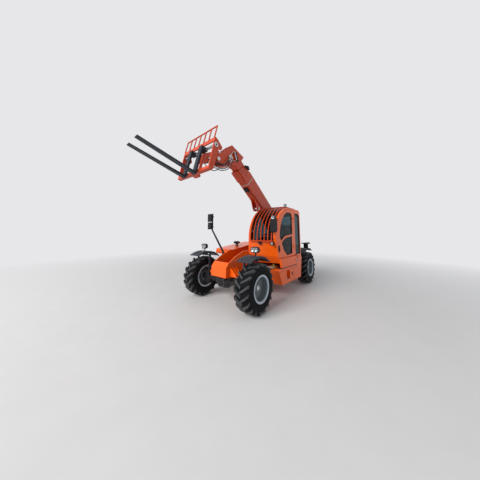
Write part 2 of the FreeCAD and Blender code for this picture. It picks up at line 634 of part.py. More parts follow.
QUARTER_WINDOW = (("690", "1010"), ("1050", "1010"), ("1050", "2230"), ("770", "2230"), ("690", "2140"))
BOOM_WINDOW = (("760", "1300"), ("2250", "1300"), ("2250", "1620"), ("1950", "2080"), ("1700", "2230"),
               ("760", "2230"))
DOOR_UPPER = (("1250", "1600"), ("1600", "1565", "500"), ("1950", "1420"), ("2030", "1520", "-720"),
              ("1600", "2205"), ("1330", "2215"), ("1250", "2130"))
DOOR_LOWER = (("1280", "1060"), ("1640", "1040"), ("1830", "1190"), ("1935", "1370", "-600"),
              ("1600", "1515"), ("1280", "1545"))


HINGES = ("1240", "2060")


def cab():
    shell = Piece("cab_shell")
    shell.loft((cab_profile("0", "cab_in", "cab_rear", "cab_low", "1090"), "cab_in"),
               (cab_profile("0", "cab_out", "cab_rear", "cab_low", "1090"), "cab_out"))
    near = "cab_in + cab_wall"
    far = "cab_out - cab_wall"
    shell.loft((cab_profile("cab_wall", f"({near})", "cab_rear + cab_wall", "cab_low + 50", "1110"), near),
               (cab_profile("cab_wall", f"({far})", "cab_rear + cab_wall", "cab_low + 50", "1110"), far),
               kind="SubtractiveLoft")
    shell.cut("XZ", (
        ("cab_front + 100", "1450"), ("cab_front + 100", "cab_top + 100"), ("950", "cab_top + 100"),
        ("950", "cab_top - 120"), ("1700", "cab_top - 300"), ("2000", "1900"), ("2100", "1450")),
        near, "cab_out - cab_wall - 15")
    shell.cut("XZ", (
        ("door_rear - 6", "door_low - 6"), ("2086", "door_low - 6"), ("2126", "1090"), ("2206", "1500", "-804"),
        ("1400", "2305"), ("door_rear - 6", "2305")), "cab_out - cab_wall - 5", "cab_out + 5")
    shell.cut("XZ", QUARTER_WINDOW, "cab_out - cab_wall - 5", "cab_out + 5")
    shell.cut("XZ", BOOM_WINDOW, "cab_in - 5", "cab_in + cab_wall + 5")
    shell.cut("YZ", box("cab_in + 70", "cab_out - 70", "1250", "2200"), "cab_rear - 10", "cab_rear + 60")
    for level in HINGES:
        shell.bore("XY", "hinge_x", "hinge_y", "hinge_radius + 8", f"{level} - 20 - seat_gap",
                   f"{level} + 20 + seat_gap")
        for low, high in ((f"{level} - 44", f"{level} - 20 - seat_gap"),
                          (f"{level} + 20 + seat_gap", f"{level} + 44")):
            shell.rod("XY", "hinge_x", "hinge_y", "hinge_radius + 6", low, high)
        shell.rod("XY", "hinge_x", "hinge_y", "hinge_radius", f"{level} - 44", f"{level} + 44")
    shell.place()

    glass = Piece("cab_glass")
    low_y = "cab_in + cab_wall"
    high_y = "cab_out - cab_wall - 15"
    glass.loft((cab_band(f"({low_y})", "14", "22", "1450", "950"), low_y),
               (cab_band(f"({high_y})", "14", "22", "1450", "950"), high_y))
    glass.pad("XZ", QUARTER_WINDOW, "cab_out - 26", "cab_out - 18")
    glass.pad("XZ", BOOM_WINDOW, "cab_in + 18", "cab_in + 26")
    glass.pad("YZ", box("cab_in + 70", "cab_out - 70", "1250", "2200"), "cab_rear + 18", "cab_rear + 26")
    glass.place()

    guard = Piece("cab_guard")
    for index in range(7):
        middle = f"(cab_in + 75 + {index} * 92)"
        guard.loft((cab_band(f"({middle} - 10)", "-42", "-22", "1440", "960"), f"{middle} - 10"),
                   (cab_band(f"({middle} + 10)", "-42", "-22", "1440", "960"), f"{middle} + 10"))
    guard.pad("XZ", box("960", "985", "cab_top", "cab_top + 30"), "cab_in + 10", "cab_out - 30")
    guard.pad("XY", (
        ("cab_front + 40", "cab_in + 65"), ("cab_front + 40 - 122", "cab_in + 647"),
        ("cab_front + 2 - 122", "cab_in + 647"), ("cab_front + 2", "cab_in + 65")), "1415", "1442")
    guard.place()

    sill = Piece("cab_sill")
    sill.pad("XZ", (
        ("1125", "755"), ("2040", "765"), ("2095", "985"), ("1080", "985", "118"), ("1005", "872", "120")),
        "cab_out + seat_gap", "box_out + 12")
    sill.rod("XZ", "1127", "881", "38", "box_out + 10", "box_out + 26")
    sill.place()

    door = Piece("door_frame")
    door.pad("XZ", (
        ("door_rear", "door_low"), ("2080", "door_low"), ("2120", "1090"), ("2200", "1500", "-798"),
        ("1402", "2298"), ("door_rear", "2298")), "cab_out - 40", "cab_out")
    door.cut("XZ", DOOR_UPPER, "cab_out - 50", "cab_out + 10")
    door.cut("XZ", DOOR_LOWER, "cab_out - 50", "cab_out + 10")
    for level in HINGES:
        for low, high in ((f"{level} - 46", f"{level} - 20"), (f"{level} + 20", f"{level} + 46")):
            door.bore("XY", "hinge_x", "hinge_y", "hinge_radius + 8", low, high)
        door.rod("XY", "hinge_x", "hinge_y", "hinge_radius + 6", f"{level} - 20", f"{level} + 20")
        door.bore("XY", "hinge_x", "hinge_y", "hinge_radius + 0.05", f"{level} - 50", f"{level} + 50")
    door.place()

    pane = Piece("door_glass")
    pane.pad("XZ", DOOR_UPPER, "cab_out - 26", "cab_out - 18")
    pane.pad("XZ", DOOR_LOWER, "cab_out - 26", "cab_out - 18")
    pane.place()

    seat = Piece("seat")
    seat.pad("XZ", (
        ("900", "1330"), ("960", "1270"), ("1380", "1290"), ("1400", "1350"), ("1340", "1390"),
        ("1000", "1370"), ("860", "1900"), ("800", "1930"), ("750", "1890")), "370", "840")
    seat.pad("XZ", box("980", "1300", "920", "1285"), "430", "780")
    seat.place()

    desk = Piece("steering_column")
    desk.pad("XZ", (("1960", "920"), ("2050", "920"), ("2175", "1085"), ("2225", "1400"), ("2080", "1440"),
                    ("2010", "1380")), "420", "700")
    desk.pad("XZ", (("1948", "1500"), ("2070", "1330"), ("2140", "1390"), ("1972", "1525")), "580", "640")
    desk.hoop("1956", "610", "1503", "33", "165", "14")
    desk.pad("XZ", (("1813.3", "1416.2"), ("1818.7", "1407.8"), ("2098.7", "1589.8"), ("2093.3", "1598.2")),
             "592", "628")
    desk.pad("XZ", (("1941", "1499"), ("1946.3", "1490.6"), ("1971.3", "1507"), ("1965.8", "1515.4")),
             "445", "775")
    desk.place()


HOOD_HINGES = ("-900", "-420")


def boxes():
    side_box = Piece("side_box")
    side_box.pad("XZ", (
        ("800", "345"), ("2020", "350"), ("2180", "700"), ("2140", "745"), ("1110", "740", "-130"),
        ("970", "860"), ("970", "960"), ("720", "960"), ("690", "900")), "frame_half + seat_gap", "box_out")
    side_box.cut("XZ", box("1560", "1760", "430", "660"), "box_out - 160", "box_out + 10")
    side_box.cut("XZ", box("600", "2300", "cab_low - seat_gap", "1100"), "0", "cab_out + seat_gap")
    side_box.place()

    bay = Piece("engine_bay")
    bay.pad("XY", (
        ("700", "pod_out"), ("2200", "pod_out"), ("2280", "pod_out + 80"), ("2280", "pod_in"),
        ("700", "pod_in")), "pod_low", "hood_low - 8")
    bay.cut("XY", (
        ("715", "pod_out + 15"), ("2194", "pod_out + 15"), ("2265", "pod_out + 86"), ("2265", "pod_in - 15"),
        ("715", "pod_in - 15")), "pod_low + 15", "hood_low + 10")
    bay.pad("YZ", box("pod_in", "-frame_half", "640", "960"), "900", "1200")
    bay.pad("YZ", box("pod_in", "-frame_half", "640", "960"), "1800", "2100")
    for spot in ("800", "2100"):
        bay.rod("XY", spot, "pod_out + 8", "7", "hood_low - 20", "hood_low - seat_gap")
    for level in range(6):
        bay.cut("XZ", box("950", "1750", f"650 + {level} * 42", f"668 + {level} * 42"),
                "pod_out - 5", "pod_out + 20")
    for spot in HOOD_HINGES:
        for low, high in ((spot, f"{spot} + 20"), (f"{spot} + 70", f"{spot} + 90")):
            bay.pad("XZ", box("hood_pin_x", "704", "hood_pin_z - 12", "hood_pin_z + 10"), low, high)
            bay.rod("XZ", "hood_pin_x", "hood_pin_z", "12", low, high)
        bay.rod("XZ", "hood_pin_x", "hood_pin_z", "hinge_radius", spot, f"{spot} + 90")
    bay.place()

    engine = Piece("engine")
    engine.pad("XZ", box("900", "1750", "pod_low + 15 + seat_gap", "1120"), "-820", "-370")
    engine.place()

    hood = Piece("hood")
    hood.pad("XZ", (
        ("700", "hood_low"), ("hood_front - 10", "hood_low"), ("hood_front", "hood_low + 40"),
        ("hood_front - 12", "hood_top - 15"), ("hood_front - 40", "hood_top"), ("1100", "hood_peak - 5"),
        ("760", "hood_peak"), ("700", "hood_peak - 60")), "pod_out", "pod_in")
    hood.cut("XZ", (
        ("712", "hood_low - 10"), ("2268", "hood_low - 10"), ("2268", "hood_low + 20"),
        ("hood_front - 22", "hood_low + 20"), ("hood_front - 24", "hood_top - 20"),
        ("hood_front - 44", "hood_top - 12"), ("1100", "hood_peak - 17"), ("765", "hood_peak - 12"),
        ("712", "hood_peak - 65")), "pod_out + 12", "pod_in - 12")
    hood.bore("XY", "1900", "-600", "45", "1150", "1300")
    for level in range(4):
        hood.cut("XZ", box("1000", "1700", f"1058 + {level} * 28", f"1072 + {level} * 28"),
                 "pod_out - 5", "pod_out + 20")
    for spot in HOOD_HINGES:
        low = f"{spot} + 25"
        high = f"{spot} + 65"
        hood.pad("XZ", box("hood_pin_x - 6", "704", "1030", "1060"), low, high)
        hood.pad("XZ", box("hood_pin_x - 6", "hood_pin_x + 6", "hood_pin_z", "1040"), low, high)
        hood.rod("XZ", "hood_pin_x", "hood_pin_z", "12", low, high)
        hood.bore("XZ", "hood_pin_x", "hood_pin_z", "hinge_radius + 0.05", f"{low} - 1", f"{high} + 1")
    hood.place()

    cap = Piece("intake_cap")
    cap.turned_up((("0", "1190"), ("45", "1190"), ("45", "1310"), ("100", "1310"), ("100", "1350"),
                   ("70", "1375"), ("0", "1375")))
    cap.place("1900", "-600", "0")


def fenders():
    for end, at, ahead, behind in (("front", "wheel_base", "330", "400"), ("rear", "0", "400", "330")):
        fender = Piece(f"fenders_{end}")
        rise = "sqrt(fender_radius * fender_radius - {0} * {0})"
        stay = "0" if end == "front" else "150"
        root = "570" if end == "front" else "frame_half"
        for low, high in (("660", "990"), ("-990", "-660")):
            fender.pad("XZ", (
                (ahead, rise.format(ahead), "-fender_radius"),
                (f"-{behind}", rise.format(behind)),
                (f"-{behind} - 6", rise.format(behind) + " + 11", "fender_radius + 12"),
                (f"{ahead} + 6", rise.format(ahead) + " + 11")), low, high)
        for low, high in ((root, "960"), ("-960", f"-{root}")):
            fender.pad("XZ", box(f"{stay} - 25", f"{stay} + 25", "528", "560"), low, high)
        if end == "front":
            for low, high in (("570", "600"), ("-600", "-570")):
                fender.pad("XZ", box("-25", "25", "150 + seat_gap", "540"), low, high)
        for low, high in (("680", "960"), ("-960", "-680")):
            fender.pad("XZ", box(f"{stay} - 12", f"{stay} + 12", "550", rise.format(stay) + " + 5"),
                       low, high)
        fender.place(at, "0", "tyre_radius")


def lamps_and_mirrors():
    lamps = Piece("headlamps")
    mudguard = "tyre_radius + sqrt((fender_radius + 12) * (fender_radius + 12) - 29 * 29) + 1"
    for side in ("lamp_y", "-lamp_y"):
        lamps.pad("YZ", (
            (f"{side} - 40", "lamp_z - 65"), (f"{side} + 40", "lamp_z - 65", "-66"),
            (f"{side} + 40", "lamp_z + 65"), (f"{side} - 40", "lamp_z + 65", "-66")),
            "wheel_base - lamp_back - 32", "wheel_base - lamp_back + 32")
        lamps.rod("XY", "wheel_base - lamp_back", side, "14", mudguard, "lamp_z - 60")
    lamps.place()

    cab_lamps = Piece("cab_lamps")
    cab_lamps.rod("XY", "800", "560", "45", "cab_top + seat_gap", "cab_top + 25")
    cab_lamps.rod("XY", "800", "560", "14", "cab_top + 20", "cab_top + 115")
    cab_lamps.rod("XY", "800", "560", "48", "cab_top + 110", "cab_top + 235")
    cab_lamps.rod("YZ", "912", "2010", "55", "2205", "2275")
    cab_lamps.rod("YZ", "912", "2010", "12", "2100", "2210")
    cab_lamps.rod("YZ", "900", "1370", "40", "2246", "2330")
    cab_lamps.place()

    left = Piece("mirror_left")
    left.pad("XZ", box("2395", "2435", "1660", "1940"), "920", "1093")
    left.pad("XY", (("2247.5", "925"), ("2400", "925"), ("2400", "955"), ("2241.5", "955")), "1640", "1670")
    left.place()

    right = Piece("mirror_right")
    right.pad("YZ", (("-frame_half - seat_gap", "1035"), ("-frame_half - seat_gap", "1080"), ("-755", "1712"),
                     ("-755", "2180"), ("-785", "2180"), ("-785", "1700"), ("-frame_half - 26", "1035")),
              "wheel_base - mirror_back - 15", "wheel_base - mirror_back + 15")
    for low, high, near, far in (("-925", "-775", "1950", "2170"), ("-915", "-775", "1730", "1925")):
        right.pad("YZ", box(low, high, near, far), "wheel_base - mirror_back + 10",
                  "wheel_base - mirror_back + 50")
    right.place()

    rear = Piece("rear_lamps")
    for low, high in (("780", "930"), ("-930", "-780")):
        rear.pad("XY", box("-360", "60", low, high), "1275", "1305")
        rear.pad("XY", box("-170", "-140", low, high), "1122", "1280")
    rear.place()


def cylinders():
    lift_x = "(lift_pin_u * cos(boom_angle * 1deg) - lift_pin_v * sin(boom_angle * 1deg) + pivot_x - base_pin_x)"
    lift_z = "(lift_pin_u * sin(boom_angle * 1deg) + lift_pin_v * cos(boom_angle * 1deg) + pivot_z - base_pin_z)"
    reach = f"sqrt({lift_x} * {lift_x} + {lift_z} * {lift_z})"
    lean = f"atan2({lift_z}; {lift_x}) / 1deg"
    cylinder("lift", reach, lean, "base_pin_x", "base_pin_z", "30", "56", "34", "2000", "38", "25")
    tilt_angle = "(boom_angle - fork_angle) * 1deg"
    reach_u = f"(tilt_u + crank_x * cos({tilt_angle}) + crank_z * sin({tilt_angle}) - base_tilt_u)"
    reach_v = f"(tilt_v - crank_x * sin({tilt_angle}) + crank_z * cos({tilt_angle}) - base_tilt_v)"
    reach = f"sqrt({reach_u} * {reach_u} + {reach_v} * {reach_v})"
    lean = f"boom_angle + atan2({reach_v}; {reach_u}) / 1deg"
    foot_x = "pivot_x + base_tilt_u * cos(boom_angle * 1deg) - base_tilt_v * sin(boom_angle * 1deg)"
    foot_z = "pivot_z + base_tilt_u * sin(boom_angle * 1deg) + base_tilt_v * cos(boom_angle * 1deg)"
    cylinder("tilt", reach, lean, foot_x, foot_z, "20", "40", "22", "610", "28", "18")


def cylinder(name, reach, lean, foot_x, foot_z, pin, tube, rod, length, eye_half, eye_bore):
    """A barrel on its foot pin, and its rod up to the eye, both along their own X."""
    barrel = Piece(f"{name}_barrel")
    barrel.rod("XZ", "0", "0", f"{pin} + 24", f"-{eye_half}", eye_half)
    barrel.rod("YZ", "0", "0", tube, f"{pin} + 14", length)
    barrel.bore("YZ", "0", "0", f"{tube} - 9", f"{pin} + 40", f"{length} - 30")
    barrel.bore("YZ", "0", "0", f"{rod} + 0.5", f"{pin} + 50", f"{length} + 5")
    barrel.bore("XZ", "0", "0", f"{pin} + 0.05", "-200", "200")
    barrel.place(foot_x, "0", foot_z, lean)
    stem = Piece(f"{name}_rod")
    stem.rod("YZ", "0", "0", rod, f"{length} - 330", f"{reach} - {eye_bore}")
    stem.rod("YZ", "0", "0", f"{tube} - 10", f"{length} - 345", f"{length} - 290")
    stem.rod("XZ", reach, "0", f"{eye_bore} + 17", f"-{eye_half}", eye_half)
    stem.bore("XZ", reach, "0", eye_bore, "-200", "200")
    stem.place(foot_x, "0", foot_z, lean)


chassis()
axles()
knuckles()
wheels()
boom()
carriage()
cab()
boxes()
fenders()
lamps_and_mirrors()
cylinders()

doc.recompute()
broken = [item.Label for item in doc.Objects if "Invalid" in item.State or "Error" in item.State]
broken += [item.Label for item in NODES if item.Shape.isNull() or not item.Shape.isValid()]
if broken:
    raise SystemExit(f"not built: {broken}")
os.makedirs("parts", exist_ok=True)
for item in NODES:
    item.Shape.exportStep(os.path.join("parts", item.Label + ".step"))
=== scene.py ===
"""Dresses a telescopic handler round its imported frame: tyres, cab, boom, lamps, engine side and studio."""

import math

import bmesh
import bpy
from bpy.props import FloatProperty, FloatVectorProperty, IntProperty, PointerProperty
from mathutils import Matrix, Vector


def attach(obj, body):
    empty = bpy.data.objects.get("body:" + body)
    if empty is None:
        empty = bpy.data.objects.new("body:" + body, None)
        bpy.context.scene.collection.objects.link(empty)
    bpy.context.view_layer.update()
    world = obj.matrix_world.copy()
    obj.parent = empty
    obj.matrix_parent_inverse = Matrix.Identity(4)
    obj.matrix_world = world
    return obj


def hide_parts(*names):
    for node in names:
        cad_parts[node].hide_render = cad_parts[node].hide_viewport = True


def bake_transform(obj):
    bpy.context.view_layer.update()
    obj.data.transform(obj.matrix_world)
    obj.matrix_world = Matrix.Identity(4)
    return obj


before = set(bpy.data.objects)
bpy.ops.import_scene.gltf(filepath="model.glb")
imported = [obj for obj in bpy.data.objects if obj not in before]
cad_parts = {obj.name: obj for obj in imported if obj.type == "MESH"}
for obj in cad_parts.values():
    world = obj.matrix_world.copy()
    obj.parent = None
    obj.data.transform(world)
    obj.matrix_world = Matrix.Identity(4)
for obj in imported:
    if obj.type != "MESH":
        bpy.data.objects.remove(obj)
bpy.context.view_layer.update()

bl_info = {
    "name": "Telescopic handler",
    "version": (1, 0, 0),
    "blender": (4, 5, 0),
    "location": "3D View > Sidebar > Handler",
    "description": "Builds the looks of a telescopic handler round its packed frame",
    "category": "Object",
}

# Places are written from under the middle of the rear axle, X forward, Y left, Z up, in metres.
ROW_ORIGIN = Vector((2.1028, 0.028, 0.0))
WHEEL_BASE = 3.0
WHEEL_SIDE = 0.865
AXLE_HEIGHT = 0.5
PIVOT = Vector((-0.5, 0.0, 1.225))
BOOM_DEGREES = 36
CARRIAGE_DEGREES = 14
TILT_PIN = Vector((4.43, 0.0, -0.57))
LIFT_PIN = Vector((2.437, 0.0, -0.32))
LIFT_FOOT = Vector((-0.25, 0.0, 0.75))
SIDES = ((1, "left"), (-1, "right"))
AXLES = (("front", WHEEL_BASE), ("rear", 0.0))
# Of each wheel: its end and side, distance ahead, distance left and outward sign.
WHEELS = [(f"{end}_{label}", ahead, side * WHEEL_SIDE, side) for end, ahead in AXLES for side, label in SIDES]

# The photograph's camera, in the same places; its picture is 480 pixels square.
FRAME_PIXELS = 480
FOCAL_PIXELS = 169.2
CENTRE_PIXEL = (240.0, 213.2)
EYE = Vector((6.014, 2.983, 1.595))
LOOK_YAW = math.radians(220.03)
LOOK_PITCH = math.radians(7.06)
LOOK_ROLL = math.radians(0.26)
SENSOR = 36.0


def at(place=(0, 0, 0), axis="Z", degrees=0.0):
    """A matrix that turns about an axis and then moves to a place."""
    return Matrix.Translation(place) @ Matrix.Rotation(math.radians(degrees), 4, axis)


def on_axle(ahead, aside=0.0):
    """A matrix that moves to the height of the wheels' centres."""
    return Matrix.Translation(Vector((ahead, aside, AXLE_HEIGHT)) - ROW_ORIGIN)


# To the row frame from the places above, from the boom's own axes and from the carriage's.
GROUND = Matrix.Translation(-ROW_ORIGIN)
BOOM = at(PIVOT - ROW_ORIGIN, "Y", -BOOM_DEGREES)
CARRIAGE = at(BOOM @ TILT_PIN, "Y", -CARRIAGE_DEGREES)
AXES = {"boom": BOOM, "boom_extension": BOOM, "carriage": CARRIAGE, "fork_left": CARRIAGE, "fork_right": CARRIAGE}

# The material of each finish, by its name.
FINISHES = {}


# Drawing


SAME_PLACE = 1e-6
CREASE = 35.0
BLOCK_FACES = ((0, 1, 3, 2), (4, 6, 7, 5), (0, 4, 5, 1), (2, 3, 7, 6), (0, 2, 6, 4), (1, 5, 7, 3))


def drawn(draw):
    """Lets a drawing take its measures first and its mesh later."""
    return lambda *measures, **options: lambda bm: draw(bm, *measures, **options)


def both(draws):
    """What is drawn on the left, and then the same on the right."""
    return [draw for side, _ in SIDES for draw in draws(side)]


def bridge(bm, near, far, closed=True):
    """Faces between two lines of as many points."""
    for index in range(len(near) if closed else len(near) - 1):
        following = (index + 1) % len(near)
        bm.faces.new((near[index], near[following], far[following], far[index]))


def block(bm, places):
    """A block on eight corners."""
    spots = [bm.verts.new(place) for place in places]
    for face in BLOCK_FACES:
        bm.faces.new([spots[index] for index in face])


@drawn
def box(bm, low, high):
    """A block between two corners."""
    block(bm, [(x, y, z) for x in (low[0], high[0]) for y in (low[1], high[1]) for z in (low[2], high[2])])


@drawn
def slab(bm, start, end, wide, thick):
    """A flat bar between two points, its width and thickness given as vectors."""
    start, end, wide, thick = (Vector(item) for item in (start, end, wide, thick))
    block(bm, [place + wide * across / 2 + thick * up / 2
               for place in (start, end) for across in (-1, 1) for up in (-1, 1)])


def spot(across, up, depth, along):
    """A point of an outline that is drawn across one axis."""
    return {"y": (across, depth, up), "x": (depth, across, up), "z": (across, up, depth)}[along]


@drawn
def prism(bm, points, low, high, along="y"):
    """An outline drawn across one axis, given depth along it."""
    near, far = ([bm.verts.new(spot(across, up, depth, along)) for across, up in points] for depth in (low, high))
    bm.faces.new(near)
    bm.faces.new(far[::-1])
    for index in range(len(points)):
        following = (index + 1) % len(points)
        bm.faces.new((near[index], far[index], far[following], near[following]))


def round_angles(sides):
    return [2 * math.pi * side / sides for side in range(sides)]


@drawn
def lathe(bm, profile, matrix=None, sides=48):
    """Turns (radius, height) points round Z; the profile closes on itself or on the axis."""
    matrix = matrix or Matrix.Identity(4)
    rings = []
    for radius, height in profile:
        turns = round_angles(sides) if radius > SAME_PLACE else (0.0,)
        rings.append([bm.verts.new(matrix @ Vector((radius * math.cos(turn), radius * math.sin(turn), height)))
                      for turn in turns])
    open_ended = len(rings[0]) == 1 and len(rings[-1]) == 1
    for lower, upper in zip(rings, rings[1:] if open_ended else rings[1:] + rings[:1]):
        if len(lower) == len(upper) > 1:
            bridge(bm, lower, upper)
        elif len(upper) > 1:
            for side in range(sides):
                bm.faces.new((lower[0], upper[(side + 1) % sides], upper[side]))
        elif len(lower) > 1:
            for side in range(sides):
                bm.faces.new((lower[side], lower[(side + 1) % sides], upper[0]))


@drawn
def rod(bm, start, end, radius, sides=20, tip=None):
    """A round bar with flat ends, tapered if it has a tip radius."""
    way = Vector(end) - Vector(start)
    turn = way.to_track_quat("Z", "Y").to_matrix().to_4x4()
    profile = ((0, 0), (radius, 0), (tip or radius, way.length), (0, way.length))
    lathe(profile, Matrix.Translation(start) @ turn, sides)(bm)


def smooth_path(points, steps=8):
    """Points on a smooth line through the given ones."""
    spots = [Vector(point) for point in points]
    spots = [spots[0] * 2 - spots[1], *spots, spots[-1] * 2 - spots[-2]]
    path = []
    for before, start, end, after in zip(spots, spots[1:], spots[2:], spots[3:]):
        for step in range(steps):
            part = step / steps
            path.append(0.5 * ((2 * start) + (end - before) * part
                               + (2 * before - 5 * start + 4 * end - after) * part ** 2
                               + (3 * start - before - 3 * end + after) * part ** 3))
    return path + [spots[-2]]


@drawn
def tube(bm, path, radius, sides=12):
    """A round section carried along a path, its ends closed."""
    rings = []
    side_way = None
    for index, place in enumerate(path):
        way = (path[min(index + 1, len(path) - 1)] - path[max(index - 1, 0)]).normalized()
        if side_way is None:
            side_way = way.orthogonal().normalized()
        side_way = (side_way - way * side_way.dot(way)).normalized()
        other_way = way.cross(side_way)
        rings.append([bm.verts.new(place + radius * (math.cos(turn) * side_way + math.sin(turn) * other_way))
                      for turn in round_angles(sides)])
    for lower, upper in zip(rings, rings[1:]):
        bridge(bm, lower, upper)
    bm.faces.new(rings[0][::-1])
    bm.faces.new(rings[-1])


def pipe(points, radius, steps):
    """A thin tube on a smooth line through the given points."""
    return tube(smooth_path(points, steps), radius, 10)


@drawn
def bolt(bm, start, way, size=0.011):
    """A six-sided head on its washer."""
    start = Vector(start)
    way = Vector(way).normalized()
    rod(start, start + way * size * 0.25, size * 1.25, 16)(bm)
    rod(start + way * size * 0.2, start + way * size * 0.9, size, 6)(bm)


@drawn
def strip(bm, lines):
    """A closed bar between four lines of points."""
    lines = [[bm.verts.new(point) for point in line] for line in lines]
    for line, following in zip(lines, lines[1:] + lines[:1]):
        bridge(bm, line, following, closed=False)
    bm.faces.new([line[0] for line in lines])
    bm.faces.new([line[-1] for line in lines][::-1])


def outline(corners, steps=10):
    """Points of a closed outline; a third number is the radius of the edge that leaves a corner."""
    points = []
    for index, corner in enumerate(corners):
        start = Vector(corner[:2])
        end = Vector(corners[(index + 1) % len(corners)][:2])
        points.append(start)
        if len(corner) > 2:
            half = (end - start) / 2
            side = Vector((-half.y, half.x)).normalized()
            radius = corner[2]
            centre = start + half - side * math.copysign(math.sqrt(radius ** 2 - half.length ** 2), radius)
            first = math.atan2(start.y - centre.y, start.x - centre.x)
            turn = math.atan2(end.y - centre.y, end.x - centre.x) - first
            turn = (turn + math.pi) % (2 * math.pi) - math.pi
            for step in range(1, steps):
                angle = first + turn * step / steps
                points.append(centre + abs(radius) * Vector((math.cos(angle), math.sin(angle))))
    return points


def inset(points, depth):
    """The same closed outline, drawn in by a depth."""
    sharpest = 0.4
    area = sum(here.x * after.y - after.x * here.y for here, after in zip(points, points[1:] + points[:1]))
    sign = math.copysign(1, area)
    drawn_in = []
    for before, here, after in zip(points[-1:] + points[:-1], points, points[1:] + points[:1]):
        arriving = (here - before).normalized()
        leaving = (after - here).normalized()
        normal = sign * Vector((-arriving.y, arriving.x))
        middle = (normal + sign * Vector((-leaving.y, leaving.x))).normalized()
        drawn_in.append(here + middle * depth / max(sharpest, middle.dot(normal)))
    return drawn_in


@drawn
def gasket(bm, points, depth, low, high, along="y"):
    """A flat band that follows the inside of an outline."""
    inner = inset(points, depth)
    loops = [[bm.verts.new(spot(*point, level, along)) for point in loop]
             for loop, level in ((points, low), (points, high), (inner, high), (inner, low))]
    for near, far in zip(loops, loops[1:] + loops[:1]):
        bridge(bm, near, far)


def rounded(half_across, half_up, corner, centre=(0.0, 0.0), steps=6):
    """Points of a rectangle with round corners."""
    points = []
    for index, (x_sign, y_sign) in enumerate(((1, 1), (-1, 1), (-1, -1), (1, -1))):
        for step in range(steps + 1):
            angle = (index + step / steps) * math.pi / 2
            points.append(Vector((centre[0] + x_sign * (half_across - corner) + corner * math.cos(angle),
                                  centre[1] + y_sign * (half_up - corner) + corner * math.sin(angle))))
    return points


# Pieces


def to_mesh(name, draws, matrix, crease=CREASE):
    """Draws a closed mesh, turns it outwards, puts it in its place and smooths its soft edges."""
    bm = bmesh.new()
    for draw in draws:
        draw(bm)
    bmesh.ops.remove_doubles(bm, verts=bm.verts, dist=SAME_PLACE)
    bmesh.ops.recalc_face_normals(bm, faces=bm.faces)
    mesh = bpy.data.meshes.new(name)
    bm.to_mesh(mesh)
    bm.free()
    mesh.transform(matrix)
    mesh.shade_smooth()
    mesh.set_sharp_from_angle(angle=math.radians(crease))
    return mesh


def add_piece(name, mesh, finish, body, slot=None, replaces=(), bevel=0.0, rounds=2):
    """Puts a finished mesh in the scene as one piece, which rides on a body if one is named."""
    piece = bpy.data.objects.new(name, mesh)
    bpy.context.collection.objects.link(piece)
    mesh.materials.clear()
    mesh.materials.append(FINISHES[finish])
    if bevel:
        edge = piece.modifiers.new("eased_edges", "BEVEL")
        edge.width = bevel
        edge.segments = rounds
        edge.limit_method = "ANGLE"
        edge.angle_limit = math.radians(40)
    if body:
        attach(piece, body)
    if replaces:
        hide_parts(*replaces)
    return piece


def shape(name, finish, *draws, body="chassis", matrix=None, crease=CREASE, **options):
    """A piece of one or more drawings."""
    mesh = to_mesh(name, draws, matrix or AXES.get(body, GROUND), crease)
    return add_piece(name, mesh, finish, body, **options)


def hose(name, points, radius, body="chassis", matrix=None, finish="hose_rubber"):
    """A hose held at both ends, with a swaged sleeve and nut at each."""
    path = smooth_path(points)
    sleeves = []
    for start, after in ((path[0], path[2]), (path[-1], path[-3])):
        way = (after - start).normalized()
        sleeves += [rod(start - way * 0.004, start + way * radius * 1.4, radius * 1.7, 6),
                    rod(start + way * radius * 1.2, start + way * radius * 4.5, radius * 1.35, 16)]
    return (shape(name, finish, tube(path, radius), body=body, matrix=matrix, slot="black_plastic"),
            shape(f"{name}_ends", "zinc_steel", *sleeves, body=body, matrix=matrix))


def repeat_tree():
    """Copies of one item, each a step further on and turned a little more, as one mesh."""
    tree = bpy.data.node_groups.new("repeated_item", "GeometryNodeTree")
    tree.interface.new_socket("Geometry", in_out="OUTPUT", socket_type="NodeSocketGeometry")
    for label, kind in (("Item", "Object"), ("Count", "Int"), ("Start", "Vector"), ("Step", "Vector"),
                        ("First turn", "Vector"), ("Turn", "Vector"), ("Finish", "Material")):
        tree.interface.new_socket(label, in_out="INPUT", socket_type=f"NodeSocket{kind}")
    given, line, item, order, share, turn, copies, real, painted, result = map(tree.nodes.new, (
        "NodeGroupInput", "GeometryNodeMeshLine", "GeometryNodeObjectInfo", "GeometryNodeInputIndex",
        "ShaderNodeVectorMath", "FunctionNodeEulerToRotation", "GeometryNodeInstanceOnPoints",
        "GeometryNodeRealizeInstances", "GeometryNodeSetMaterial", "NodeGroupOutput"))
    share.operation = "MULTIPLY_ADD"
    for start, given_by, end, taken_by in (
            (given, "Count", line, "Count"), (given, "Start", line, "Start Location"),
            (given, "Step", line, "Offset"), (given, "Item", item, "Object"), (order, 0, share, 0),
            (given, "Turn", share, 1), (given, "First turn", share, 2), (share, 0, turn, 0),
            (line, 0, copies, "Points"), (item, "Geometry", copies, "Instance"), (turn, 0, copies, "Rotation"),
            (copies, 0, real, 0), (real, 0, painted, "Geometry"), (given, "Finish", painted, "Material"),
            (painted, 0, result, 0)):
        tree.links.new(start.outputs[given_by], end.inputs[taken_by])
    return tree


REPEAT = repeat_tree()


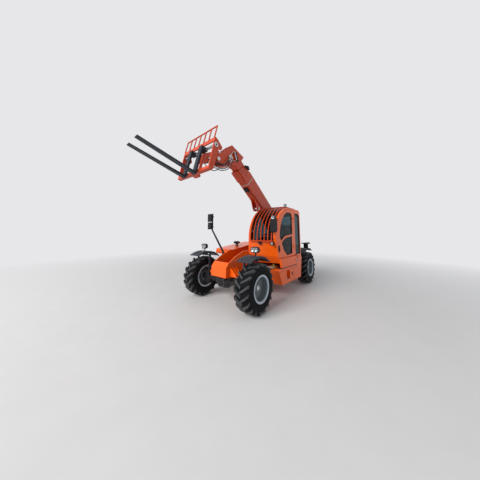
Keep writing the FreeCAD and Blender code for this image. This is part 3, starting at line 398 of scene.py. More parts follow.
def repeated(name, finish, draw, count, matrix=GROUND, step=(0, 0, 0), start=(0, 0, 0), turn=(0, 0, 0),
             first_turn=(0, 0, 0)):
    """The plain mesh of one drawn item repeated by the node tree."""
    item = bpy.data.objects.new(f"{name}_item", to_mesh(f"{name}_item", (draw,), Matrix.Identity(4)))
    host = bpy.data.objects.new(name, bpy.data.meshes.new(f"{name}_host"))
    bpy.context.collection.objects.link(host)
    modifier = host.modifiers.new("repeat", "NODES")
    modifier.node_group = REPEAT
    values = {"Item": item, "Count": count, "Start": start, "Step": step, "First turn": first_turn,
              "Turn": turn, "Finish": FINISHES[finish]}
    for socket in REPEAT.interface.items_tree:
        if socket.in_out == "INPUT":
            modifier[socket.identifier] = values[socket.name]
    bpy.context.view_layer.update()
    mesh = bpy.data.meshes.new_from_object(host.evaluated_get(bpy.context.evaluated_depsgraph_get()))
    mesh.name = name
    bpy.data.objects.remove(host)
    bpy.data.objects.remove(item)
    mesh.transform(matrix)
    return mesh


def joined(name, meshes):
    """Several meshes as one."""
    bm = bmesh.new()
    for mesh in meshes:
        bm.from_mesh(mesh)
        bpy.data.meshes.remove(mesh)
    mesh = bpy.data.meshes.new(name)
    bm.to_mesh(mesh)
    bm.free()
    mesh.shade_smooth()
    mesh.set_sharp_from_angle(angle=math.radians(CREASE))
    return mesh


def row(name, finish, draw, count, body="chassis", slot=None, bevel=0.0, matrix=None, **steps):
    """A piece of one item repeated."""
    mesh = repeated(name, finish, draw, count, matrix or AXES.get(body, GROUND), **steps)
    return add_piece(name, mesh, finish, body, slot, bevel=bevel)


def bolts(name, way, rows, finish="zinc_steel", body="chassis", slot=None, matrix=None, size=0.011):
    """Rows of bolt heads, each row with its start, step and count."""
    meshes = [repeated(name, finish, bolt((0, 0, 0), way, size), count, matrix or AXES.get(body, GROUND),
                       step, start) for start, step, count in rows]
    return add_piece(name, joined(name, meshes), finish, body, slot)


# Finishes


class Weave:
    """A material's nodes, linked as they are named."""

    def __init__(self, name):
        material = bpy.data.materials.new(name)
        material.use_nodes = True
        self.nodes = material.node_tree.nodes
        self.link = material.node_tree.links.new
        self.shader = self.nodes["Principled BSDF"]
        self.place = self.nodes.new("ShaderNodeTexCoord").outputs["Object"]
        FINISHES[name] = material

    def feed(self, node, values):
        """Links each socket to another node's, or gives it a constant."""
        for label, value in values.items():
            if isinstance(value, bpy.types.NodeSocket):
                self.link(value, node.inputs[label])
            else:
                node.inputs[label].default_value = value
        return node

    def node(self, kind, values):
        return self.feed(self.nodes.new(f"ShaderNode{kind}"), values)

    def noise(self, scale, detail=4.0, roughness=0.55, stretch=None):
        place = self.place
        if stretch:
            place = self.node("Mapping", {"Scale": stretch, "Vector": place}).outputs["Vector"]
        return self.node("TexNoise", {"Scale": scale, "Detail": detail, "Roughness": roughness,
                                      "Vector": place}).outputs["Fac"]

    def spread(self, value, low, high, to_low, to_high):
        return self.node("MapRange", {"From Min": low, "From Max": high, "To Min": to_low, "To Max": to_high,
                                      "Value": value}).outputs["Result"]

    def between(self, share, first, second):
        mix = self.nodes.new("ShaderNodeMix")
        mix.data_type = "RGBA"
        first, second = (value if isinstance(value, bpy.types.NodeSocket) else (*value, 1.0)
                         for value in (first, second))
        return self.feed(mix, {"Factor": share, "A": first, "B": second}).outputs["Result"]

    def relief(self, value, strength, depth):
        bump = self.node("Bump", {"Strength": strength, "Distance": depth, "Height": value})
        self.link(bump.outputs["Normal"], self.shader.inputs["Normal"])


def shaded(colour, amount):
    return tuple(min(1.0, part * amount) for part in colour)


DUST_COLOUR = (0.33, 0.29, 0.24)
COAT_ROUGHNESS = 0.08
GLASS_IOR = 1.15


def finish(name, colour, roughness, metallic=0.0, coat=0.0, tone=0.1, tone_scale=2.5, grain=0.15,
           grain_scale=220.0, depth=0.0004, dust=0.0, dust_top=0.9, stretch=None, gloss_change=0.08, sheen=0.5):
    """A surface of one colour that varies softly, with its own grain, and dust towards the ground."""
    weave = Weave(name)
    tones = weave.spread(weave.noise(tone_scale), 0.3, 0.7, 0.0, 1.0)
    paint = weave.between(tones, shaded(colour, 1 - tone), shaded(colour, 1 + tone))
    if dust:
        height = weave.node("SeparateXYZ", {0: weave.place}).outputs["Z"]
        low = weave.spread(height, 0.0, dust_top, 1.0, 0.0)
        patches = weave.spread(weave.noise(9.0, 6.0, 0.7), 0.35, 0.7, 0.0, dust)
        cover = weave.node("Math", {0: low, 1: patches})
        cover.operation = "MULTIPLY"
        paint = weave.between(cover.outputs[0], paint, DUST_COLOUR)
    gloss = weave.spread(weave.noise(14.0, 5.0), 0.3, 0.7, roughness - gloss_change, roughness + gloss_change)
    weave.feed(weave.shader, {"Base Color": paint, "Roughness": gloss, "Metallic": metallic, "Coat Weight": coat,
                              "Coat Roughness": COAT_ROUGHNESS, "Specular IOR Level": sheen})
    weave.relief(weave.noise(grain_scale, 3.0, 0.5, stretch), grain, depth)
    return weave


def clear_finish(name, colour, roughness=0.02):
    """Glass with faint smears."""
    weave = Weave(name)
    tones = weave.spread(weave.noise(1.5), 0.3, 0.7, 0.0, 1.0)
    smears = weave.spread(weave.noise(6.0, 5.0, 0.6), 0.4, 0.75, roughness, roughness + 0.008)
    weave.feed(weave.shader, {"Base Color": weave.between(tones, shaded(colour, 0.95), colour),
                              "Roughness": smears, "Transmission Weight": 1.0, "IOR": GLASS_IOR})


def fluted_finish(name, colour, clear):
    """A lamp's lens with fine upright flutes."""
    weave = Weave(name)
    tones = weave.spread(weave.noise(20.0), 0.3, 0.7, 0.0, 1.0)
    weave.feed(weave.shader, {"Base Color": weave.between(tones, shaded(colour, 0.85), colour),
                              "Roughness": 0.08, "Coat Weight": 0.6, "Transmission Weight": clear})
    waves = weave.node("TexWave", {"Scale": 180.0, "Vector": weave.place})
    waves.bands_direction = "Y"
    weave.relief(waves.outputs["Fac"], 0.4, 0.0006)


# The finish of each kind of CAD piece, by the names of its nodes.
NODE_FINISHES = {
    "orange_paint": "chassis_frame counterweight cab_shell cab_sill door_frame side_box hood",
    "boom_orange_in_painted_shade": "boom_outer boom_inner boom_head carriage load_guard lift_barrel tilt_barrel",
    "black_paint": "axle_front axle_rear engine_bay knuckle_front_left knuckle_front_right knuckle_rear_left "
                   "knuckle_rear_right",
    "rim_grey_in_painted_shade": "rim_front_left rim_front_right rim_rear_left rim_rear_right",
    "tyre_rubber": "tyre_front_left tyre_front_right tyre_rear_left tyre_rear_right",
    "bright_steel": "boom_and_lift_pins fork_shaft",
    "fork_steel": "fork_left fork_right",
    "chrome_rod": "lift_rod tilt_rod",
    "tinted_glass": "cab_glass door_glass",
    "guard_orange_in_painted_shade": "cab_guard",
    "seat_vinyl": "seat",
    "engine_iron": "engine",
    "fender_plastic": "fenders_front fenders_rear",
    "dark_plastic": "steering_column intake_cap headlamps cab_lamps mirror_left mirror_right rear_lamps",
}


def colour_value(name, about, default):
    return FloatVectorProperty(name=name, description=about, subtype="COLOR", size=3, default=default, min=0.0,
                               max=1.0)


class HandlerPaint(bpy.types.PropertyGroup):
    """The colours that a user would change."""

    body: colour_value("Body", "Cab, frame and hood", (0.82, 0.108, 0.004))
    # Painted shade: the boom's colour is a darker, redder copy of the body's orange, which is the boom's real paint
    # too.
    boom: colour_value("Boom", "Boom, carriage and cylinders", (0.5, 0.05, 0.012))
    # Painted shade: the rims' grey is darkened to stand in for the shade inside their deep barrels.
    wheels: colour_value("Wheels", "Rims", (0.15, 0.175, 0.195))
    black: colour_value("Black", "Axles and engine bay", (0.018, 0.018, 0.02))
    rubber: colour_value("Rubber", "Tyres", (0.008, 0.0085, 0.01))
    lugs: colour_value("Lugs", "Worn tops of the tread", (0.055, 0.058, 0.064))
    glass: colour_value("Glass", "Windows", (0.16, 0.27, 0.3))


class HANDLER_OT_finishes(bpy.types.Operator):
    """Makes every finish and gives each node of the frame its own"""

    bl_idname = "handler.finishes"
    bl_label = "Finishes"

    def execute(self, context):
        paint = context.scene.handler_paint
        finish("orange_paint", paint.body, 0.3, coat=0.2, tone=0.05, grain=0.012, dust=0.05, dust_top=0.8,
               gloss_change=0.03, sheen=0.3)
        # Painted shade: boom, carriage, cylinders and their fittings take the darker, redder copy of the body's orange.
        finish("boom_orange_in_painted_shade", paint.boom, 0.36, coat=0.1, tone=0.06, grain=0.015, gloss_change=0.03, sheen=0.35)
        # Painted shade: the windscreen guard takes the same darkened boom colour.
        finish("guard_orange_in_painted_shade", paint.boom, 0.55, tone=0.08, grain=0.03, sheen=0.25)
        # Painted shade on the whole rim; on its lip, a lighter copy of the same grey as painted highlight.
        finish("rim_grey_in_painted_shade", paint.wheels, 0.45, metallic=0.2, tone=0.08, grain=0.1, dust=0.12)
        finish("rim_lip_painted_highlight", shaded(paint.wheels, 2.8), 0.4, metallic=0.3, tone=0.06, grain=0.1)
        finish("black_paint", paint.black, 0.42, coat=0.04, tone=0.25, dust=0.05, sheen=0.2)
        finish("fork_steel", (0.014, 0.021, 0.03), 0.42, metallic=0.2, tone=0.25, grain=0.3, grain_scale=90.0,
               sheen=0.35)
        finish("tyre_rubber", paint.rubber, 0.7, tone=0.25, tone_scale=6.0, grain=0.35, grain_scale=160.0,
               depth=0.0008, dust=0.02, dust_top=1.3, sheen=0.08)
        finish("lug_rubber", paint.lugs, 0.68, tone=0.3, tone_scale=16.0, grain=0.4, grain_scale=140.0,
               depth=0.0008, dust=0.08, dust_top=1.3, sheen=0.25)
        finish("fender_plastic", (0.034, 0.038, 0.05), 0.5, tone=0.15, grain=0.3, grain_scale=350.0, sheen=0.25)
        finish("dark_plastic", (0.012, 0.012, 0.014), 0.5, tone=0.2, grain=0.3, grain_scale=420.0, sheen=0.3)
        finish("seal_rubber", (0.01, 0.01, 0.011), 0.7, tone=0.2, grain=0.2)
        finish("hose_rubber", (0.012, 0.012, 0.013), 0.55, tone=0.2, grain=0.25, grain_scale=500.0)
        finish("bright_steel", (0.52, 0.53, 0.55), 0.3, metallic=1.0, tone=0.08, grain=0.2, stretch=(1, 20, 20))
        finish("chrome_rod", (0.74, 0.75, 0.77), 0.09, metallic=1.0, tone=0.03, grain=0.03, gloss_change=0.03)
        finish("zinc_steel", (0.55, 0.55, 0.53), 0.38, metallic=0.9, tone=0.12, grain=0.2)
        finish("yellow_zinc", (0.55, 0.42, 0.12), 0.35, metallic=0.8, tone=0.15, grain=0.2)
        finish("engine_iron", (0.1, 0.1, 0.105), 0.6, metallic=0.3, tone=0.25, grain=0.5, grain_scale=70.0)
        finish("seat_vinyl", (0.018, 0.018, 0.02), 0.6, tone=0.2, grain=0.6, grain_scale=520.0)
        finish("seat_cloth", (0.07, 0.075, 0.085), 0.85, tone=0.15, grain=0.8, grain_scale=900.0)
        finish("pale_strap", (0.45, 0.40, 0.36), 0.6, tone=0.12, grain=0.2)
        finish("mirror_silver", (0.8, 0.82, 0.84), 0.05, metallic=1.0, tone=0.02, grain=0.0, gloss_change=0.02)
        finish("reflector_silver", (0.36, 0.38, 0.42), 0.25, metallic=1.0, tone=0.03, grain=0.02,
               gloss_change=0.02)
        clear_finish("tinted_glass", paint.glass)
        fluted_finish("lamp_lens", (0.95, 0.96, 0.97), 0.9)
        fluted_finish("amber_lens", (0.85, 0.3, 0.02), 0.3)
        fluted_finish("red_lens", (0.55, 0.01, 0.01), 0.3)
        fluted_finish("pale_lens", (0.42, 0.48, 0.55), 0.35)
        for name, nodes in NODE_FINISHES.items():
            for node in nodes.split():
                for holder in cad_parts[node].material_slots:
                    holder.material = FINISHES[name]
        return {"FINISHED"}


# Studio


def share_value(name, about, default):
    return FloatProperty(name=name, description=about, default=default, min=0.0, max=1.0)


def power_value(name, about, default):
    return FloatProperty(name=name, description=about, default=default, min=0.0, subtype="POWER", unit="POWER")


class HandlerStudio(bpy.types.PropertyGroup):
    """The plain floor and soft light."""

    floor_tone: share_value("Floor tone", "How pale the floor is", 0.62)
    floor_fade: FloatProperty(name="Floor fade", description="Where the floor starts to fade into the background",
                              default=3.6, min=1.0, unit="LENGTH")
    backdrop: share_value("Backdrop", "Tone of the background that is seen", 0.8)
    sky_light: FloatProperty(name="Sky light", description="Strength of the light from all round", default=0.45,
                             min=0.0)
    key_power: power_value("Key light", "Power of the large lamp", 4150.0)
    fill_power: power_value("Fill light", "Power of the lamp on the other side", 60.0)


def fading_floor(studio):
    """Gives the floor its paint, and fades it into the background far from the object."""
    tone = studio.floor_tone
    weave = finish("floor_paint", (tone, tone, tone * 1.01), 0.75, tone=0.015, grain=0.1, grain_scale=40.0)
    length = weave.node("VectorMath", {0: weave.place})
    length.operation = "LENGTH"
    far = weave.spread(length.outputs["Value"], studio.floor_fade, studio.floor_fade * 3.5, 0.0, 1.0)
    plain = weave.node("Emission", {"Color": (studio.backdrop, studio.backdrop, studio.backdrop * 1.02, 1.0)})
    mix = weave.node("MixShader", {0: far, 1: weave.shader.outputs[0], 2: plain.outputs[0]})
    weave.link(mix.outputs[0], weave.nodes["Material Output"].inputs["Surface"])


def pale_world(strength, backdrop):
    """Soft light from all round, and a plain tone behind the object."""
    world = bpy.data.worlds.new("studio")
    world.use_nodes = True
    nodes = world.node_tree.nodes
    link = world.node_tree.links.new
    light = nodes["Background"]
    seen = nodes.new("ShaderNodeBackground")
    for background, colour, amount in ((light, (0.93, 0.96, 1.0, 1.0), strength),
                                       (seen, (backdrop, backdrop, backdrop * 1.02, 1.0), 1.0)):
        background.inputs["Color"].default_value = colour
        background.inputs["Strength"].default_value = amount
    rays = nodes.new("ShaderNodeLightPath")
    any_ray = rays.outputs["Is Camera Ray"]
    for label in ("Is Glossy Ray", "Is Transmission Ray"):
        either = nodes.new("ShaderNodeMath")
        either.operation = "MAXIMUM"
        link(any_ray, either.inputs[0])
        link(rays.outputs[label], either.inputs[1])
        any_ray = either.outputs[0]
    mix = nodes.new("ShaderNodeMixShader")
    for index, source in enumerate((any_ray, light.outputs[0], seen.outputs[0])):
        link(source, mix.inputs[index])
    link(mix.outputs[0], nodes["World Output"].inputs["Surface"])
    bpy.context.scene.world = world


def lamp(name, place, width, power, colour):
    """A large square lamp turned to the handler; glossy surfaces mirror the pale background, not the lamp."""
    light = bpy.data.lights.new(name, "AREA")
    light.size = width
    light.energy = power
    light.color = colour
    holder = bpy.data.objects.new(name, light)
    holder.location = place
    holder.rotation_euler = (Vector((0.0, 0.0, 1.2)) - Vector(place)).to_track_quat("-Z", "Y").to_euler()
    holder.visible_glossy = False
    bpy.context.collection.objects.link(holder)


class HANDLER_OT_studio(bpy.types.Operator):
    """Lays the pale floor, lights the handler softly and sets up the photograph's camera"""

    bl_idname = "handler.studio"
    bl_label = "Studio"

    def execute(self, context):
        studio = context.scene.handler_studio
        fading_floor(studio)
        reach = 60.0
        mesh = to_mesh("floor", [box((-reach, -reach, -0.05), (reach, reach, 0.0))], Matrix.Identity(4))
        mesh.materials.append(FINISHES["floor_paint"])
        floor = bpy.data.objects.new("floor", mesh)
        bpy.context.collection.objects.link(floor)
        pale_world(studio.sky_light, studio.backdrop)
        lamp("key_lamp", (17.0, -2.4, 11.5), 9.0, studio.key_power, (1.0, 0.97, 0.93))
        lamp("fill_lamp", (-1.0, 9.0, 5.0), 6.0, studio.fill_power, (0.9, 0.95, 1.0))
        lens = bpy.data.cameras.new("photo_camera")
        lens.sensor_width = SENSOR
        lens.lens = FOCAL_PIXELS * SENSOR / FRAME_PIXELS
        lens.shift_x = (FRAME_PIXELS / 2 - CENTRE_PIXEL[0]) / FRAME_PIXELS
        lens.shift_y = (CENTRE_PIXEL[1] - FRAME_PIXELS / 2) / FRAME_PIXELS
        camera = bpy.data.objects.new("photo_camera", lens)
        bpy.context.collection.objects.link(camera)
        ahead = Vector((math.cos(LOOK_PITCH) * math.cos(LOOK_YAW), math.cos(LOOK_PITCH) * math.sin(LOOK_YAW),
                        math.sin(LOOK_PITCH)))
        turn = ahead.to_track_quat("-Z", "Y").to_matrix().to_4x4() @ Matrix.Rotation(LOOK_ROLL, 4, "Z")
        camera.matrix_world = Matrix.Translation(EYE - ROW_ORIGIN) @ turn
        context.scene.camera = camera
        context.scene.view_settings.view_transform = "Standard"
        return {"FINISHED"}


# Tyres and wheels


def length_value(name, about, default):
    return FloatProperty(name=name, description=about, default=default, unit="LENGTH")


class HandlerTyres(bpy.types.PropertyGroup):
    """Sizes of the tyres' tread and walls."""

    lugs: IntProperty(name="Lugs", description="Lugs on each side of a tyre", default=18, min=6, max=40)
    radius: length_value("Radius", "Outer radius over the lugs", 0.5)
    lug_height: length_value("Lug height", "Height of a lug over the carcass", 0.034)
    lug_width: length_value("Lug width", "Width of a lug's top", 0.038)
    half_width: length_value("Half width", "Half the tyre's width", 0.172)
    bead: length_value("Bead radius", "Radius where the tyre meets its rim", 0.252)


# The wall between bead and tread: radius, and how far it lies inside the tyre's full width.
TYRE_WALL = ((0.279, 0.011), (0.286, 0.004), (0.300, 0.003), (0.308, 0.007), (0.340, 0.001), (0.372, 0.0),
             (0.376, 0.0), (0.384, 0.0), (0.388, 0.003), (0.410, 0.004), (0.430, 0.008))
# Along a lug: distance aside, turn back in degrees, how far its top is lowered, share of its width.
LUG_STATIONS = (
    (-0.004, 8.5, 0.001, 0.95), (0.040, 5.2, 0.0, 0.95), (0.085, 1.6, 0.0, 1.0), (0.125, -2.2, 0.002, 1.08),
    (0.158, -5.8, 0.007, 1.2), (0.1695, -7.2, 0.020, 1.3), (0.1715, -8.4, 0.060, 1.1))
# The section of the rings laid over the rims' lips, which carry the painted highlight.
RIM_LIP_HIGHLIGHT_SECTION = ((0.2362, 0.15), (0.2362, 0.1665), (0.2405, 0.1703), (0.267, 0.1742), (0.2764, 0.1735),
           (0.2768, 0.1705), (0.2404, 0.1662), (0.239, 0.15))
WHEEL_NUTS = 10


def carcass_radius(aside, tyre):
    """Radius of the carcass under the lugs, by the distance from the tyre's middle."""
    crown = tyre.radius - tyre.lug_height
    share = min(1.0, abs(aside) / tyre.half_width)
    return crown - 0.010 * share ** 2 - 0.030 * share ** 8


def tyre_profile(tyre):
    """The closed section of a tyre: (radius, aside), from bead over the crown to bead."""
    half = tyre.half_width
    wall = [(radius, half - depth) for radius, depth in ((tyre.bead, 0.014), *TYRE_WALL)]
    crown = [(carcass_radius(aside * half, tyre), aside * half) for aside in (0.91, 0.84, 0.7, 0.5, 0.25, 0.0)]
    side = wall + crown
    return side + [(radius, -aside) for radius, aside in side[-2::-1]]


@drawn
def lug(bm, tyre, sign):
    """One slanting lug from the middle of the tread out over the shoulder, at the wheel's top."""
    rings = []
    for aside, degrees, drop, share in LUG_STATIONS:
        top = tyre.radius - drop
        base = min(carcass_radius(aside, tyre) - 0.006, top - 0.004)
        turn = math.radians(degrees)
        ring = []
        for radius, spread in ((base, 0.72), (top, 0.5), (top, -0.5), (base, -0.72)):
            angle = turn + spread * tyre.lug_width * share / tyre.radius
            inward = -0.012 if radius == base and aside > 0.165 else 0.0
            ring.append(bm.verts.new((radius * math.sin(angle), sign * (aside + inward),
                                      radius * math.cos(angle))))
        rings.append(ring)
    for near, far in zip(rings, rings[1:]):
        bridge(bm, near, far)
    bm.faces.new(rings[0])
    bm.faces.new(rings[-1][::-1])


class HANDLER_OT_tyres(bpy.types.Operator):
    """Builds four lugged tyres over the frame's plain ones"""

    bl_idname = "handler.tyres"
    bl_label = "Tyres"

    def execute(self, context):
        tyre = context.scene.handler_tyre
        step = 2 * math.pi / tyre.lugs
        for end, ahead, aside, _ in WHEELS:
            place = on_axle(ahead, aside)
            shape(f"tyre_{end}_carcass", "tyre_rubber", lathe(tyre_profile(tyre), at(axis="X", degrees=-90), 96),
                  body=f"wheel_{end}", matrix=place, crease=50.0, replaces=(f"tyre_{end}",))
            lugs = [repeated(f"lugs_{end}", "tyre_rubber", lug(tyre, sign), tyre.lugs, place, turn=(0, step, 0),
                             first_turn=(0, first, 0)) for sign, first in ((1, 0.0), (-1, step / 2))]
            add_piece(f"tyre_{end}_lugs", joined(f"tyre_{end}_lugs", lugs), "lug_rubber", f"wheel_{end}")
        return {"FINISHED"}


class HANDLER_OT_wheel_fittings(bpy.types.Operator):
    """Wheel nuts, hub caps, valves and painted-highlight lip rings on the four rims"""

    bl_idname = "handler.wheel_fittings"
    bl_label = "Wheel fittings"

    def execute(self, context):
        for end, ahead, aside, out in WHEELS:
            rim = {"body": f"wheel_{end}", "slot": "rim_paint", "matrix": on_axle(ahead, aside)}
            row(f"wheel_nuts_{end}", "zinc_steel", bolt((0, out * 0.0085, 0.17), (0, out, 0), 0.014), WHEEL_NUTS,
                turn=(0, 2 * math.pi / WHEEL_NUTS, 0), **rim)
            shape(f"hub_cap_{end}", "zinc_steel", lathe(
                ((0, 0), (0.048, 0), (0.048, 0.01), (0.036, 0.022), (0, 0.027)),
                at((0, out * 0.070, 0), "X", -90 * out), 40), **rim)
            # Rings over the lips in a paler copy of the rims' grey: painted highlight.
            shape(f"rim_lips_{end}", "rim_lip_painted_highlight",
                  *both(lambda side: [lathe(RIM_LIP_HIGHLIGHT_SECTION, at(axis="X", degrees=-90 * side), 64)]), **rim)
            shape(f"valve_{end}", "dark_plastic", rod((0.19, out * 0.03, 0.02), (0.2, out * 0.075, 0.02), 0.006, 12),
                  **rim)
        return {"FINISHED"}


# Axles, frame and cylinders


COVER_BOLTS = 12
FRAME_FACE = 0.2452
PIN_END = 0.2602
SILL = ((1.125, 0.755), (2.05, 0.7652), (2.095, 0.985), (1.08, 0.985, 0.118), (1.005, 0.872, 0.12))
BOOT_FOLDS = [(0.0135, 0.0), *(point for fold in range(9) for point in (
    (0.03 - fold * 0.0012, 0.004 + fold * 0.008), (0.021, 0.008 + fold * 0.008))), (0.0135, 0.084)]
BALL_END = [(0.022 * math.sin(step * math.pi / 8), 0.022 - 0.022 * math.cos(step * math.pi / 8))
            for step in range(9)]


class HANDLER_OT_axle_fittings(bpy.types.Operator):
    """Covers, king pin caps, steering hoses and their boots on both axles"""

    bl_idname = "handler.axle_fittings"
    bl_label = "Axle fittings"

    def execute(self, context):
        for end, ahead in AXLES:
            place = on_axle(ahead)
            shape(f"axle_cover_{end}", "black_paint", lathe(
                ((0, 0), (0.126, 0), (0.126, 0.066), (0.1, 0.088), (0.05, 0.104), (0, 0.106)),
                at((0.09, 0, 0), "Y", 90)), matrix=place, bevel=0.003)
            row(f"axle_cover_bolts_{end}", "zinc_steel", bolt((0.16, 0, 0.116), (1, 0, 0), 0.009), COVER_BOLTS,
                turn=(2 * math.pi / COVER_BOLTS, 0, 0), matrix=place)
            shape(f"king_pin_caps_{end}", "black_paint", *both(lambda side: (
                lathe(((0, 0), (0.05, 0), (0.05, 0.01), (0.034, 0.016), (0, 0.016)), at((0, side * 0.655, 0.15)), 32),
                rod((0, side * 0.655, 0.16), (0, side * 0.655, 0.176), 0.005, 8))), matrix=place)
            shape(f"steering_boots_{end}", "seal_rubber", *both(lambda side: (
                lathe(BOOT_FOLDS, at((-0.15, side * 0.231, -0.045), "X", -90 * side), 24),
                lathe(BALL_END, at((-0.15, side * 0.458, -0.045), "X", -90 * side), 20))), matrix=place, crease=60.0)
            for side, label in SIDES:
                hose(f"steering_hose_{end}_{label}", (
                    (-0.15, side * 0.19, -0.012), (-0.152, side * 0.19, 0.022), (-0.185, side * 0.175, 0.062),
                    (-0.24, side * 0.15, 0.072), (-0.27, side * 0.14, 0.1)), 0.008, matrix=place)
        return {"FINISHED"}


@drawn
def pin_keeper(bm, across, up, radius, side, face, pin_end):
    """A pin's end washer with a keeper plate and its bolt, on an upright plate."""
    face *= side
    outer = side * pin_end + side * 0.012
    low, high = sorted((face, face + side * 0.009))
    rod((across, face, up), (across, outer, up), radius * 1.25, 32)(bm)
    rod((across, outer, up), (across, outer + side * 0.004, up), radius * 0.8, 32)(bm)
    box((across - 0.018, low, up - radius * 1.2 - 0.052), (across + 0.018, high, up - radius * 1.15))(bm)
    bolt((across, face + side * 0.009, up - radius * 1.2 - 0.03), (0, side, 0), 0.009)(bm)


def ribbon(inner, outer, low, high):
    """A band between two lines drawn on the machine's side."""
    return strip([[spot(*point, aside, "y") for point in line]
                  for line, aside in ((inner, low), (inner, high), (outer, high), (outer, low))])


class HANDLER_OT_frame_fittings(bpy.types.Operator):
    """Pin keepers, pipes, hoses, seams and bolts on the frame and side box"""

    bl_idname = "handler.frame_fittings"
    bl_label = "Frame fittings"

    def execute(self, context):
        shape("frame_pin_keepers", "bright_steel", *both(lambda side: [
            pin_keeper(pin.x, pin.z, radius, side, FRAME_FACE, PIN_END)
            for pin, radius in ((PIVOT, 0.045), (LIFT_FOOT, 0.03))]), bevel=0.0015)
        bolts("frame_side_bolts", (0, 1, 0), (
            ((2.93, 0.245, 0.975), (-0.09, 0, 0.04), 2), ((1.9, 0.245, 1.1), (-0.4, 0, 0), 1),
            ((0.42, 0.245, 0.72), (-0.16, 0, 0), 3)))
        bolts("frame_side_bolts_right", (0, -1, 0), (
            ((2.93, -0.245, 0.975), (-0.09, 0, 0.04), 2), ((0.42, -0.245, 0.72), (-0.16, 0, 0), 3)))
        bolts("counterweight_bolts", (0, 0, 1), (
            ((-0.76, 0.33, 1.01), (0, 0.1, 0), 3), ((-0.76, -0.33, 1.01), (0, -0.1, 0), 3)), size=0.016)
        shape("frame_pipes", "zinc_steel", *(pipe((
            (-0.2, aside, 0.8), (-0.17, aside, 0.68), (-0.06, aside, 0.634), (0.4, aside, 0.633),
            (1.4, aside, 0.633), (2.55, aside, 0.633), (2.66, aside, 0.66), (2.7, aside, 0.76)), 0.0075, 6)
            for aside in (0.165, 0.187, 0.209)), crease=60.0)
        row("frame_pipe_clips", "dark_plastic", box((-0.012, -0.036, -0.012), (0.012, 0.036, 0.012)), 6,
            start=(0.2, 0.187, 0.633), step=(0.42, 0, 0), bevel=0.003)
        shape("valve_block", "yellow_zinc", box((2.02, 0.72, 0.7455), (2.12, 0.86, 0.81)),
              *(rod((2.12, aside, 0.775), (2.143, aside, 0.775), 0.014, 6) for aside in (0.745, 0.79, 0.835)),
              rod((2.07, 0.79, 0.81), (2.07, 0.79, 0.845), 0.019), bevel=0.003)
        hose("valve_hose_high", (
            (2.143, 0.835, 0.775), (2.21, 0.84, 0.775), (2.28, 0.77, 0.8), (2.3, 0.6, 0.83), (2.28, 0.4, 0.84),
            (2.26, 0.247, 0.84)), 0.011, finish="pale_strap")
        hose("valve_hose_middle", (
            (2.143, 0.79, 0.775), (2.2, 0.79, 0.765), (2.25, 0.7, 0.77), (2.25, 0.5, 0.79), (2.23, 0.35, 0.8),
            (2.22, 0.247, 0.8)), 0.01)
        hose("valve_hose_low", (
            (2.143, 0.745, 0.775), (2.19, 0.74, 0.75), (2.21, 0.6, 0.74), (2.2, 0.45, 0.75), (2.18, 0.35, 0.755),
            (2.17, 0.247, 0.755)), 0.01)
        for side, label in SIDES:
            hose(f"brake_hose_{label}", (
                (3.03, side * 0.2, 0.6), (3.05, side * 0.21, 0.585), (3.09, side * 0.28, 0.57),
                (3.06, side * 0.37, 0.6), (3.0, side * 0.4, 0.578)), 0.007)
        inner, outer = (line[3:] + line[:2] for line in (inset(outline(SILL), depth) for depth in (-0.001, -0.024)))
        shape("side_box_seal", "seal_rubber",
              prism(((1.125, 0.7455), (2.06, 0.7455), (2.05, 0.7648), (1.126, 0.7548)), 0.9, 1.0),
              ribbon(inner, outer, 0.999, 1.005), ribbon(inner[:-2], outer[:-2], 0.9655, 1.0), crease=50.0)
        shape("side_box_panel_lines", "seal_rubber", *(box((left, 1.0, low), (right, 1.0012, high)) for
              left, right, low, high in ((1.0, 1.545, 0.674, 0.679), (1.775, 2.166, 0.674, 0.679),
                                         (1.3, 1.304, 0.352, 0.674))))
        row("step_treads", "zinc_steel", lathe(((0, 0), (0.011, 0), (0.008, 0.006), (0, 0.006)), sides=12), 7,
            start=(1.585, 0.93, 0.436), step=(0.025, 0, 0))
        shape("step_plate", "zinc_steel", box((1.562, 0.842, 0.4302), (1.758, 0.996, 0.436)), bevel=0.002)
        shape("side_box_latch", "dark_plastic", box((1.395, 1.0, 0.5), (1.445, 1.006, 0.58)),
              rod((1.42, 1.005, 0.54), (1.42, 1.012, 0.54), 0.016, 24), bevel=0.002)
        shape("filler_cap", "bright_steel", lathe(
            ((0, 0), (0.03, 0), (0.03, 0.004), (0.022, 0.009), (0.012, 0.009), (0.012, 0.004), (0, 0.004)),
            at((1.127, 1.0262, 0.881), "X", -90), 32))
        return {"FINISHED"}


def cylinder_matrix(foot, eye):
    """From a cylinder's own axes, its foot at their origin and its rod along X, to the row frame."""
    way = eye - foot
    return Matrix.Translation(foot) @ Matrix.Rotation(-math.atan2(way.z, way.x), 4, "Y")


